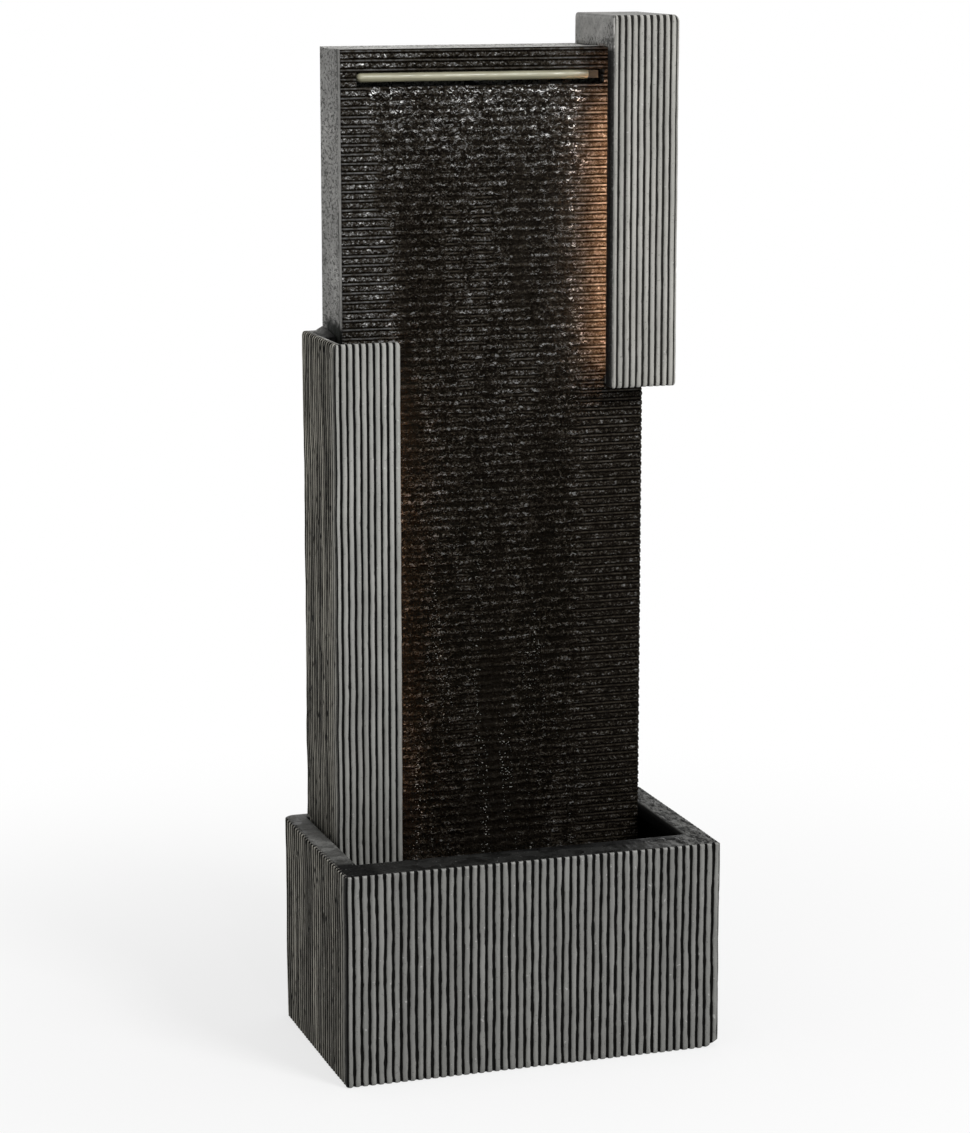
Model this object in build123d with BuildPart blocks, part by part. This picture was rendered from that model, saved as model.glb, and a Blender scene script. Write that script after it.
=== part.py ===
from build123d import *
import os

os.makedirs("parts", exist_ok=True)

# Frame: millimetres, origin under the middle of the basin, X to the right, Y to the back, Z up.

# Basin
BASIN_WIDTH = 380.0
BASIN_DEPTH = 230.0
BASIN_HEIGHT = 208.0
BASIN_WALL = 10.0
BASIN_BACK_WALL = 12.0
BASIN_FLOOR = 10.0
BASIN_BACK_BEVEL = 10.0
CAVITY_CORNER_RADIUS = 12.0
RIM_SIDE = 23.0
RIM_FRONT = 41.0
RIM_THICKNESS = 14.0
MOUTH_CORNER_RADIUS = 6.0

# Cast ribs: grooves cut into the faces of the basin, the pillar and the block
BASIN_RIB_PITCH = 7.75
PILLAR_RIB_PITCH = 6.5
BLOCK_RIB_PITCH = 6.8
RIB_RELIEF = 2.6
GROOVE_MOUTH = 3.2
GROOVE_FLOOR = 1.4
CORNER_BEVEL = 2.5

# Water wall: a slate face on a plain shell, standing in the mouth of the basin
WALL_TOP = 970.0
WALL_DEPTH = 71.6
WALL_INSET = 21.0
SLATE_THICKNESS = 9.0
SHELL_WALL = 7.0
COURSE_PITCH = 8.8
COURSE_RELIEF = 2.4
COURSE_CROWN = 3.5
COURSE_FLANK = 1.1
RIDGE_RELIEF = 1.2
MOUTH_CLEARANCE = 2.5
SEAT_CLEARANCE = 0.5
FACE_CLEARANCE = 0.3
WINDOW_WIDTH = 34.0
WINDOW_HEIGHT = 24.0
WINDOW_SPACING = 58.0
WINDOW_COUNT = 4

# Ribbed castings on the edges of the wall
CASTING_WALL = 8.0
RETURN_DEPTH = 16.0
PILLAR_WIDTH = 65.0
PILLAR_DEPTH = 118.6
PILLAR_TOP = 696.0
PILLAR_TOP_RECESS = 40.0
BLOCK_WIDTH = 68.0
BLOCK_DEPTH = 110.6
BLOCK_BOTTOM = 641.0
BLOCK_TOP = 1000.0
BLOCK_OVERHANG = 20.2
BOSS_DIAMETER = 15.0
BOSS_SETBACK = 36.0
BOSS_END_MARGIN = 60.0

# Screws
SCREW_DIAMETER = 4.0
SCREW_HOLE = 4.6
SCREW_HEAD_DIAMETER = 8.0
SCREW_HEAD_HEIGHT = 2.4
SCREW_BITE = 9.0
PILOT_HOLE = 4.2
PILOT_DEPTH = 10.0

# Back panel and service door
PANEL_THICKNESS = 5.0
PANEL_RECESS = 6.0
POST_DIAMETER = 12.0
POST_BITE = 2.0
POST_END_MARGIN = 30.0
DOOR_SIDE_MARGIN = 61.5
DOOR_OPENING_HEIGHT = 190.0
DOOR_OPENING_SILL = 26.0
DOOR_CORNER_RADIUS = 10.0
DOOR_LAP = 12.0
DOOR_THICKNESS = 3.0
DOOR_PLUG_DEPTH = 4.0
DOOR_PLUG_WALL = 4.0
DOOR_CLEARANCE = 0.6
PULL_WIDTH = 72.0
PULL_HEIGHT = 9.0
PULL_DEPTH = 2.6
THUMB_HEAD_DIAMETER = 13.0
THUMB_HEAD_HEIGHT = 2.6
THUMB_SHANK_LENGTH = 12.0
THUMB_INSET = 6.0
GROMMET_BORE = 9.0
GROMMET_WAIST = 21.6
GROMMET_HOLE = 22.0
GROMMET_FLANGE = 29.0
GROMMET_LIP = 2.5
GROMMET_SIDE_MARGIN = 26.0
GROMMET_HEIGHT = 34.0

# Spill tube in the slot
SPILL_HEIGHT = 943.0
SLOT_LEFT_MARGIN = 16.0
SLOT_RIGHT_MARGIN = 43.0
SLOT_HEIGHT = 14.0
SLOT_CORNER_RADIUS = 3.0
TUBE_DIAMETER = 9.2
TUBE_BORE = 6.4
TUBE_SETBACK = 2.0
TUBE_END_GAP = 1.0
TUBE_TOP_GAP = 0.4
PLUG_LENGTH = 10.0
PLUG_SPIGOT = 8.0
PLUG_GAP = 5.0
PLUG_WIDTH = 7.4
SPILL_SLIT_WIDTH = 2.0
SPILL_SLIT_MARGIN = 8.0
TEE_DIAMETER = 8.8
TEE_BORE = 5.6
KEEPER_WIDTH = 12.0
KEEPER_HEIGHT = 34.0
KEEPER_THICKNESS = 3.0
KEEPER_INSET = 44.5

# Riser
PUSH_FIT = 0.1
HOSE_BORE = 13.2
HOSE_WALL = 2.0
ELBOW_DIAMETER = 13.0
ELBOW_BEND_RADIUS = 12.0
ELBOW_DROP = 40.0
HOSE_OVERLAP = 18.0
CLAMP_WALL = 1.4
CLAMP_WIDTH = 9.0
CLAMP_EAR = 6.0
CLAMP_END_GAP = 4.0
CLIP_WALL = 2.2
CLIP_WIDTH = 12.0
CLIP_STEM = 8.0
CLIP_FOOT = 26.0
CLIP_HEIGHTS = (480.0, 760.0)

# Pump, lying along X on the basin floor
PUMP_WIDTH = 42.0
PUMP_HEIGHT = 42.0
MOTOR_LENGTH = 46.0
MOTOR_EDGE_RADIUS = 5.0
MOTOR_END_RADIUS = 3.0
MOTOR_END_WALL = 2.5
FOOT_HEIGHT = 6.0
FOOT_DIAMETER = 14.0
FOOT_TAPER = 30.0
FOOT_STEM = 4.0
FOOT_STEM_LENGTH = 3.0
FOOT_INSET = 9.0
VOLUTE_LENGTH = 22.0
VOLUTE_WIDTH = 38.0
VOLUTE_WALL = 2.0
CHAMBER_DIAMETER = 28.0
INLET_DIAMETER = 15.0
SPIDER_ARM = 3.0
SPIDER_HUB = 8.0
OUTLET_SETBACK = 13.0
OUTLET_DIAMETER = 13.0
OUTLET_BORE = 9.0
OUTLET_LENGTH = 26.0
COVER_LENGTH = 20.0
COVER_SKIRT = 5.0
COVER_WALL = 2.0
COVER_CLEARANCE = 0.3
COVER_SLOT_WIDTH = 2.2
COVER_SLOT_PITCH = 4.4
COVER_SLOT_HEIGHT = 28.0
COVER_SLOT_COUNT = 4
DIAL_DIAMETER = 27.0
DIAL_THICKNESS = 3.0
DIAL_STEM = 6.0
DIAL_RUNNING_GAP = 0.08
DIAL_CATCH = 1.0
DIAL_GRIP_HEIGHT = 4.0
DIAL_GRIP_WIDTH = 4.0
PORT_DIAMETER = 6.0
PORT_RADIUS = 9.0
ROTOR_DIAMETER = 19.0
ROTOR_GAP = 1.0
ROTOR_END_GAP = 0.3
SHAFT_DIAMETER = 3.0
SHAFT_RUNNING_GAP = 0.05
BUSH_DIAMETER = 5.6
BUSH_LENGTH = 4.0
IMPELLER_DIAMETER = 24.0
IMPELLER_HUB = 9.0
IMPELLER_BLADES = 6
BLADE_THICKNESS = 1.6
BLADE_LENGTH = 9.0
SEAL_DIAMETER = 31.0
SEAL_SECTION = 2.4
GLAND_HEX = 12.0
GLAND_HEX_LENGTH = 5.0
GLAND_NECK = 9.0
GLAND_LENGTH = 11.0
GLAND_BORE = 6.0
GLAND_RISE = 10.0

# Light strips behind the front plates of the castings
STRIP_WIDTH = 10.0
STRIP_THICKNESS = 4.0
STRIP_SIDE_GAP = 1.0
STRIP_END_GAP = 10.0
CAP_LENGTH = 6.0
CAP_LIP = 0.5

# Planes that several pieces share
FRONT = -BASIN_DEPTH / 2
BACK = BASIN_DEPTH / 2
MOUTH_LEFT = -BASIN_WIDTH / 2 + RIM_SIDE
MOUTH_RIGHT = BASIN_WIDTH / 2 - RIM_SIDE
MOUTH_FRONT = FRONT + RIM_FRONT
CAVITY_BACK = BACK - BASIN_BACK_WALL
FOOT_BACK = CAVITY_BACK - SEAT_CLEARANCE

PILLAR_LEFT = MOUTH_LEFT + MOUTH_CLEARANCE
PILLAR_RIGHT = PILLAR_LEFT + PILLAR_WIDTH
PILLAR_FRONT = BACK - PILLAR_DEPTH

WALL_LEFT = PILLAR_LEFT + WALL_INSET
WALL_RIGHT = MOUTH_RIGHT - MOUTH_CLEARANCE
WALL_WIDTH = WALL_RIGHT - WALL_LEFT
WALL_CENTRE = (WALL_LEFT + WALL_RIGHT) / 2
WALL_FRONT = BACK - WALL_DEPTH
SLATE_BACK = WALL_FRONT + SLATE_THICKNESS

BLOCK_RIGHT = WALL_RIGHT + BLOCK_OVERHANG
BLOCK_LEFT = BLOCK_RIGHT - BLOCK_WIDTH
BLOCK_FRONT = BACK - BLOCK_DEPTH

PANEL_OUTER = BACK - PANEL_RECESS
PANEL_INNER = PANEL_OUTER - PANEL_THICKNESS
PANEL_LEFT = WALL_LEFT + SHELL_WALL + SEAT_CLEARANCE
PANEL_RIGHT = WALL_RIGHT - SHELL_WALL - SEAT_CLEARANCE
PANEL_BOTTOM = BASIN_HEIGHT
PANEL_TOP = WALL_TOP - SHELL_WALL - SEAT_CLEARANCE
DOOR_OPENING_WIDTH = PANEL_RIGHT - PANEL_LEFT - 2 * DOOR_SIDE_MARGIN
DOOR_CENTRE = (WALL_CENTRE, PANEL_BOTTOM + DOOR_OPENING_SILL + DOOR_OPENING_HEIGHT / 2)
DOOR_OUTER = PANEL_OUTER + DOOR_THICKNESS
THUMB_SPACING_X = DOOR_OPENING_WIDTH + 2 * DOOR_LAP - 2 * THUMB_INSET
THUMB_SPACING_Z = DOOR_OPENING_HEIGHT + 2 * DOOR_LAP - 2 * THUMB_INSET
GROMMET_PLACE = (PANEL_RIGHT - GROMMET_SIDE_MARGIN, PANEL_BOTTOM + GROMMET_HEIGHT)

POST_INSET = SHELL_WALL + POST_DIAMETER / 2 - POST_BITE
POST_LOW = PANEL_BOTTOM + POST_END_MARGIN
POST_HIGH = PANEL_TOP - POST_END_MARGIN
POST_HEIGHTS = (POST_LOW, (POST_LOW + POST_HIGH) / 2, POST_HIGH)
POST_PLACES = [(x, z) for x in (WALL_LEFT + POST_INSET, WALL_RIGHT - POST_INSET) for z in POST_HEIGHTS]

BOSS_Y = BACK - BOSS_SETBACK
PILLAR_BOSS_LOW = BASIN_HEIGHT + BOSS_END_MARGIN
PILLAR_BOSS_HIGH = PILLAR_TOP - PILLAR_TOP_RECESS - BOSS_END_MARGIN
PILLAR_BOSS_MIDDLE = (PILLAR_BOSS_LOW + PILLAR_BOSS_HIGH) / 2
PILLAR_BOSSES = [(BOSS_Y, z) for z in (PILLAR_BOSS_LOW, PILLAR_BOSS_MIDDLE, PILLAR_BOSS_HIGH)]
BLOCK_BOSSES = [(BOSS_Y, z) for z in (BLOCK_BOTTOM + BOSS_END_MARGIN, WALL_TOP - BOSS_END_MARGIN)]

SLOT_LEFT = WALL_LEFT + SLOT_LEFT_MARGIN
SLOT_RIGHT = WALL_RIGHT - SLOT_RIGHT_MARGIN
SLOT_CENTRE = (SLOT_LEFT + SLOT_RIGHT) / 2
KEEPER_SPACING = SLOT_RIGHT - SLOT_LEFT - 2 * KEEPER_INSET
SLOT_TOP = SPILL_HEIGHT + TUBE_DIAMETER / 2 + TUBE_TOP_GAP
TUBE_Y = WALL_FRONT + TUBE_SETBACK + TUBE_DIAMETER / 2
TUBE_BACK = TUBE_Y + TUBE_DIAMETER / 2 + PUSH_FIT
TUBE_LEFT = SLOT_LEFT + TUBE_END_GAP
TUBE_RIGHT = SLOT_RIGHT - PLUG_GAP - PLUG_LENGTH

HOSE_X = SLOT_CENTRE
HOSE_Y = (SLATE_BACK + CAVITY_BACK) / 2
HOSE_DIAMETER = HOSE_BORE + 2 * HOSE_WALL
TEE_LENGTH = HOSE_Y - ELBOW_BEND_RADIUS - PUSH_FIT - TUBE_Y
PUMP_AXIS = BASIN_FLOOR + FOOT_HEIGHT + PUMP_HEIGHT / 2
VOLUTE_FRONT = HOSE_X - OUTLET_SETBACK
VOLUTE_BACK = VOLUTE_FRONT + VOLUTE_LENGTH
MOTOR_END = VOLUTE_BACK + MOTOR_LENGTH
OUTLET_TOP = PUMP_AXIS + VOLUTE_WIDTH / 2 + OUTLET_LENGTH
ELBOW_END = SPILL_HEIGHT - ELBOW_DROP
HOSE_BOTTOM = OUTLET_TOP - HOSE_OVERLAP
HOSE_TOP = ELBOW_END + HOSE_OVERLAP
COVER_FRONT = VOLUTE_FRONT - COVER_LENGTH
COVER_INSIDE = VOLUTE_WIDTH + 2 * COVER_CLEARANCE
COVER_OUTSIDE = COVER_INSIDE + 2 * COVER_WALL
BORE_END = MOTOR_END - MOTOR_END_WALL - BUSH_LENGTH


def grooved_edge(start, end, inward, pitch, start_bevel=CORNER_BEVEL, end_bevel=CORNER_BEVEL):
    """Corner points of a ribbed edge from start to end, with a groove between each two ribs."""
    start, end, inward = Vector(*start), Vector(*end), Vector(*inward)
    along = (end - start).normalized()
    length = (end - start).length
    ribs = max(2, round(length / pitch))
    points = [start + along * start_bevel]
    for groove in range(1, ribs):
        distance = length * groove / ribs
        if start_bevel + GROOVE_MOUTH < distance < length - end_bevel - GROOVE_MOUTH:
            centre = start + along * distance
            floor = centre + inward * RIB_RELIEF
            points.append(centre - along * (GROOVE_MOUTH / 2))
            points.append(floor - along * (GROOVE_FLOOR / 2))
            points.append(floor + along * (GROOVE_FLOOR / 2))
            points.append(centre + along * (GROOVE_MOUTH / 2))
    points.append(end - along * end_bevel)
    return points


# Basin: ribbed on the front and both sides, plain behind, with the rim turned in over the cavity
basin_left_x = -BASIN_WIDTH / 2
basin_right_x = BASIN_WIDTH / 2
basin_outline = [
    *grooved_edge((basin_left_x, FRONT), (basin_right_x, FRONT), (0, 1), BASIN_RIB_PITCH),
    *grooved_edge(
        (basin_right_x, FRONT), (basin_right_x, BACK), (-1, 0), BASIN_RIB_PITCH, end_bevel=BASIN_BACK_BEVEL
    ),
    (basin_right_x - BASIN_BACK_BEVEL, BACK),
    (basin_left_x + BASIN_BACK_BEVEL, BACK),
    *grooved_edge(
        (basin_left_x, BACK), (basin_left_x, FRONT), (1, 0), BASIN_RIB_PITCH, start_bevel=BASIN_BACK_BEVEL
    ),
]

with BuildPart() as basin:
    with BuildSketch():
        with BuildLine():
            Polyline(*basin_outline, close=True)
        make_face()
    extrude(amount=BASIN_HEIGHT)
    with BuildSketch(Plane.XY.offset(BASIN_FLOOR)):
        with Locations((0, (FRONT + BASIN_WALL + CAVITY_BACK) / 2)):
            RectangleRounded(
                BASIN_WIDTH - 2 * BASIN_WALL, CAVITY_BACK - FRONT - BASIN_WALL, CAVITY_CORNER_RADIUS
            )
    extrude(amount=BASIN_HEIGHT - RIM_THICKNESS - BASIN_FLOOR, mode=Mode.SUBTRACT)
    with BuildSketch(Plane.XY.offset(BASIN_HEIGHT - RIM_THICKNESS)) as mouth:
        with Locations((0, (MOUTH_FRONT + CAVITY_BACK) / 2)):
            Rectangle(MOUTH_RIGHT - MOUTH_LEFT, CAVITY_BACK - MOUTH_FRONT)
        fillet(mouth.vertices().group_by(Axis.Y)[0], radius=MOUTH_CORNER_RADIUS)
    extrude(amount=RIM_THICKNESS, mode=Mode.SUBTRACT)
basin.part.label = "basin"
export_step(basin.part, "parts/basin.step")


# Slate face: courses of one broad rib and one thin ridge, with the spill slot and inlet windows
def slate_profile():
    """Corner points of the slate face seen from its end, from the foot up the front."""
    courses = round((WALL_TOP - BASIN_FLOOR) / COURSE_PITCH)
    course = (WALL_TOP - BASIN_FLOOR) / courses
    deep = WALL_FRONT + COURSE_RELIEF
    ridge = WALL_FRONT + RIDGE_RELIEF
    points = []
    for number in range(courses):
        foot = BASIN_FLOOR + number * course
        ridge_foot = foot + 2 * COURSE_FLANK + COURSE_CROWN
        points.append((deep, foot))
        points.append((WALL_FRONT, foot + COURSE_FLANK))
        points.append((WALL_FRONT, foot + COURSE_FLANK + COURSE_CROWN))
        points.append((deep, ridge_foot))
        points.append((ridge, (ridge_foot + foot + course) / 2))
    points.append((deep, WALL_TOP))
    return points + [(SLATE_BACK, WALL_TOP), (SLATE_BACK, BASIN_FLOOR)]


with BuildPart() as slate_face:
    with BuildSketch(Plane.YZ.offset(WALL_LEFT)):
        with BuildLine():
            Polyline(*slate_profile(), close=True)
        make_face()
    extrude(amount=WALL_WIDTH)
    with BuildSketch(Plane.XZ.offset(-SLATE_BACK)):
        with Locations((SLOT_CENTRE, SLOT_TOP - SLOT_HEIGHT / 2)):
            RectangleRounded(SLOT_RIGHT - SLOT_LEFT, SLOT_HEIGHT, SLOT_CORNER_RADIUS)
        with Locations((WALL_CENTRE, BASIN_FLOOR + WINDOW_HEIGHT / 2)):
            with GridLocations(WINDOW_SPACING, 0, WINDOW_COUNT, 1):
                Rectangle(WINDOW_WIDTH, WINDOW_HEIGHT)
    extrude(amount=SLATE_THICKNESS, mode=Mode.SUBTRACT)
slate_face.part.label = "slate_face"
export_step(slate_face.part, "parts/slate_face.step")


# Tower shell: two cheeks and a top behind the slate face, open at the back, with posts for the panel
with BuildPart() as tower_shell:
    with BuildSketch(Plane.XZ.offset(-SLATE_BACK)):
        with Locations((WALL_CENTRE, (BASIN_FLOOR + WALL_TOP) / 2)):
            Rectangle(WALL_WIDTH, WALL_TOP - BASIN_FLOOR)
        with Locations((WALL_CENTRE, (BASIN_FLOOR + WALL_TOP - SHELL_WALL) / 2)):
            Rectangle(WALL_WIDTH - 2 * SHELL_WALL, WALL_TOP - SHELL_WALL - BASIN_FLOOR, mode=Mode.SUBTRACT)
    extrude(amount=SLATE_BACK - BACK)
    with BuildSketch(Plane.XZ.offset(-SLATE_BACK)):
        with Locations(*POST_PLACES):
            Circle(POST_DIAMETER / 2)
    extrude(amount=SLATE_BACK - PANEL_INNER)
    with BuildSketch(Plane.XZ.offset(-PANEL_INNER)):
        with Locations(*POST_PLACES):
            Circle(PILOT_HOLE / 2)
    extrude(amount=PILOT_DEPTH, mode=Mode.SUBTRACT)
    with BuildSketch(Plane.XZ.offset(-BACK)):
        with Locations((WALL_CENTRE, (BASIN_FLOOR + BASIN_HEIGHT) / 2)):
            Rectangle(WALL_WIDTH, BASIN_HEIGHT - BASIN_FLOOR)
    extrude(amount=BACK - FOOT_BACK, mode=Mode.SUBTRACT)
    with BuildSketch(Plane.YZ.offset(WALL_LEFT)):
        with Locations(*PILLAR_BOSSES):
            Circle(SCREW_HOLE / 2)
    extrude(amount=SHELL_WALL, mode=Mode.SUBTRACT)
    with BuildSketch(Plane.YZ.offset(WALL_RIGHT)):
        with Locations(*BLOCK_BOSSES):
            Circle(SCREW_HOLE / 2)
    extrude(amount=-SHELL_WALL, mode=Mode.SUBTRACT)
tower_shell.part.label = "tower_shell"
export_step(tower_shell.part, "parts/tower_shell.step")

# Left pillar: a ribbed channel round the lower left edge of the wall, with a short return that hides a
# light and a lid sunk below its open top
pillar_corner = (PILLAR_LEFT, PILLAR_FRONT)
pillar_front = grooved_edge(pillar_corner, (PILLAR_RIGHT, PILLAR_FRONT), (0, 1), PILLAR_RIB_PITCH)
pillar_side = grooved_edge((PILLAR_LEFT, BACK), pillar_corner, (1, 0), PILLAR_RIB_PITCH)
pillar_inner = PILLAR_LEFT + CASTING_WALL
pillar_seat = WALL_LEFT - FACE_CLEARANCE
pillar_section = [
    *pillar_front,
    (PILLAR_RIGHT, PILLAR_FRONT + CORNER_BEVEL),
    (PILLAR_RIGHT, PILLAR_FRONT + RETURN_DEPTH),
    (PILLAR_RIGHT - CASTING_WALL, PILLAR_FRONT + RETURN_DEPTH),
    (PILLAR_RIGHT - CASTING_WALL, PILLAR_FRONT + CASTING_WALL),
    (pillar_inner, PILLAR_FRONT + CASTING_WALL),
    (pillar_inner, BACK - CASTING_WALL),
    (pillar_seat, BACK - CASTING_WALL),
    (pillar_seat, BACK),
    (PILLAR_LEFT + CORNER_BEVEL, BACK),
    *pillar_side,
]
pillar_lid = [
    (pillar_inner, PILLAR_FRONT + CASTING_WALL),
    (PILLAR_RIGHT - CASTING_WALL, PILLAR_FRONT + CASTING_WALL),
    (PILLAR_RIGHT - CASTING_WALL, WALL_FRONT - FACE_CLEARANCE),
    (pillar_seat, WALL_FRONT - FACE_CLEARANCE),
    (pillar_seat, BACK - CASTING_WALL),
    (pillar_inner, BACK - CASTING_WALL),
]
pillar_lid_top = PILLAR_TOP - PILLAR_TOP_RECESS

with BuildPart() as left_pillar:
    with BuildSketch(Plane.XY.offset(BASIN_FLOOR)):
        with BuildLine():
            Polyline(*pillar_section, close=True)
        make_face()
    extrude(amount=PILLAR_TOP - BASIN_FLOOR)
    with BuildSketch(Plane.XY.offset(pillar_lid_top)):
        with BuildLine():
            Polyline(*pillar_lid, close=True)
        make_face()
    extrude(amount=-CASTING_WALL)
    with BuildSketch(Plane.XY.offset(BASIN_FLOOR)):
        with Locations(((PILLAR_LEFT + WALL_LEFT) / 2, (FOOT_BACK + BACK) / 2)):
            Rectangle(WALL_INSET, BACK - FOOT_BACK)
    extrude(amount=BASIN_HEIGHT - BASIN_FLOOR, mode=Mode.SUBTRACT)
    with BuildSketch(Plane.YZ.offset(pillar_inner)):
        with Locations(*PILLAR_BOSSES):
            Circle(BOSS_DIAMETER / 2)
            Circle(PILOT_HOLE / 2, mode=Mode.SUBTRACT)
    extrude(amount=pillar_seat - pillar_inner)
left_pillar.part.label = "left_pillar"
export_step(left_pillar.part, "parts/left_pillar.step")

# Upper block: a ribbed channel round the upper right edge of the wall, closed where it stands above the wall
block_corner = (BLOCK_RIGHT, BLOCK_FRONT)
block_front = grooved_edge((BLOCK_LEFT, BLOCK_FRONT), block_corner, (0, 1), BLOCK_RIB_PITCH)
block_side = grooved_edge(block_corner, (BLOCK_RIGHT, BACK), (-1, 0), BLOCK_RIB_PITCH)
block_inner = BLOCK_RIGHT - CASTING_WALL
block_seat = WALL_RIGHT + FACE_CLEARANCE
block_outside = [*block_front, *block_side]
block_section = [
    *block_outside,
    (BLOCK_RIGHT - CORNER_BEVEL, BACK),
    (block_seat, BACK),
    (block_seat, BACK - CASTING_WALL),
    (block_inner, BACK - CASTING_WALL),
    (block_inner, BLOCK_FRONT + CASTING_WALL),
    (BLOCK_LEFT + CASTING_WALL, BLOCK_FRONT + CASTING_WALL),
    (BLOCK_LEFT + CASTING_WALL, BLOCK_FRONT + RETURN_DEPTH),
    (BLOCK_LEFT, BLOCK_FRONT + RETURN_DEPTH),
    (BLOCK_LEFT, BLOCK_FRONT + CORNER_BEVEL),
]
block_base = [
    (BLOCK_LEFT + CASTING_WALL, BLOCK_FRONT + CASTING_WALL),
    (block_inner, BLOCK_FRONT + CASTING_WALL),
    (block_inner, BACK - CASTING_WALL),
    (block_seat, BACK - CASTING_WALL),
    (block_seat, WALL_FRONT - FACE_CLEARANCE),
    (BLOCK_LEFT + CASTING_WALL, WALL_FRONT - FACE_CLEARANCE),
]

with BuildPart() as upper_block:
    with BuildSketch(Plane.XY.offset(BLOCK_BOTTOM)):
        with BuildLine():
            Polyline(*block_section, close=True)
        make_face()
    extrude(amount=WALL_TOP - BLOCK_BOTTOM)
    with BuildSketch(Plane.XY.offset(BLOCK_BOTTOM)):
        with BuildLine():
            Polyline(*block_base, close=True)
        make_face()
    extrude(amount=CASTING_WALL)
    with BuildSketch(Plane.XY.offset(WALL_TOP)):
        with BuildLine():
            Polyline(
                *block_outside,
                (BLOCK_RIGHT - CORNER_BEVEL, BACK),
                (BLOCK_LEFT, BACK),
                (BLOCK_LEFT, BLOCK_FRONT + CORNER_BEVEL),
                close=True,
            )
        make_face()
    extrude(amount=BLOCK_TOP - WALL_TOP)
    with BuildSketch(Plane.XY.offset(WALL_TOP)):
        with Locations(((BLOCK_LEFT + BLOCK_RIGHT) / 2, (BLOCK_FRONT + BACK) / 2)):
            Rectangle(BLOCK_WIDTH - 2 * CASTING_WALL, BLOCK_DEPTH - 2 * CASTING_WALL)
    extrude(amount=BLOCK_TOP - WALL_TOP - CASTING_WALL, mode=Mode.SUBTRACT)
    with BuildSketch(Plane.YZ.offset(block_inner)):
        with Locations(*BLOCK_BOSSES):
            Circle(BOSS_DIAMETER / 2)
            Circle(PILOT_HOLE / 2, mode=Mode.SUBTRACT)
    extrude(amount=block_seat - block_inner)
upper_block.part.label = "upper_block"
export_step(upper_block.part, "parts/upper_block.step")

# Screws from inside the tower into the bosses of the two castings
with BuildPart() as pillar_screws:
    with BuildSketch(Plane.YZ.offset(WALL_LEFT + SHELL_WALL)):
        with Locations(*PILLAR_BOSSES):
            Circle(SCREW_HEAD_DIAMETER / 2)
    extrude(amount=SCREW_HEAD_HEIGHT)
    with BuildSketch(Plane.YZ.offset(WALL_LEFT + SHELL_WALL)):
        with Locations(*PILLAR_BOSSES):
            Circle(SCREW_DIAMETER / 2)
    extrude(amount=-SHELL_WALL - SCREW_BITE)
pillar_screws.part.label = "pillar_screws"
export_step(pillar_screws.part, "parts/pillar_screws.step")

with BuildPart() as block_screws:
    with BuildSketch(Plane.YZ.offset(WALL_RIGHT - SHELL_WALL)):
        with Locations(*BLOCK_BOSSES):
            Circle(SCREW_HEAD_DIAMETER / 2)
    extrude(amount=-SCREW_HEAD_HEIGHT)
    with BuildSketch(Plane.YZ.offset(WALL_RIGHT - SHELL_WALL)):
        with Locations(*BLOCK_BOSSES):
            Circle(SCREW_DIAMETER / 2)
    extrude(amount=SHELL_WALL + SCREW_BITE)
block_screws.part.label = "block_screws"
export_step(block_screws.part, "parts/block_screws.step")

# Back panel: stands on the back of the basin inside the shell, with the service opening
with BuildPart() as back_panel:
    with BuildSketch(Plane.XZ.offset(-PANEL_INNER)):
        with Locations(((PANEL_LEFT + PANEL_RIGHT) / 2, (PANEL_BOTTOM + PANEL_TOP) / 2)):
            Rectangle(PANEL_RIGHT - PANEL_LEFT, PANEL_TOP - PANEL_BOTTOM)
        with Locations(DOOR_CENTRE):
            RectangleRounded(DOOR_OPENING_WIDTH, DOOR_OPENING_HEIGHT, DOOR_CORNER_RADIUS, mode=Mode.SUBTRACT)
            with GridLocations(THUMB_SPACING_X, THUMB_SPACING_Z, 2, 2):
                Circle(SCREW_HOLE / 2, mode=Mode.SUBTRACT)
        with Locations(*POST_PLACES):
            Circle(SCREW_HOLE / 2, mode=Mode.SUBTRACT)
        with Locations(GROMMET_PLACE):
            Circle(GROMMET_HOLE / 2, mode=Mode.SUBTRACT)
    extrude(amount=-PANEL_THICKNESS)
back_panel.part.label = "back_panel"
export_step(back_panel.part, "parts/back_panel.step")

with BuildPart() as back_panel_screws:
    with BuildSketch(Plane.XZ.offset(-PANEL_OUTER)):
        with Locations(*POST_PLACES):
            Circle(SCREW_HEAD_DIAMETER / 2)
    extrude(amount=-SCREW_HEAD_HEIGHT)
    with BuildSketch(Plane.XZ.offset(-PANEL_OUTER)):
        with Locations(*POST_PLACES):
            Circle(SCREW_DIAMETER / 2)
    extrude(amount=PANEL_THICKNESS + SCREW_BITE)
back_panel_screws.part.label = "back_panel_screws"
export_step(back_panel_screws.part, "parts/back_panel_screws.step")

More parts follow.
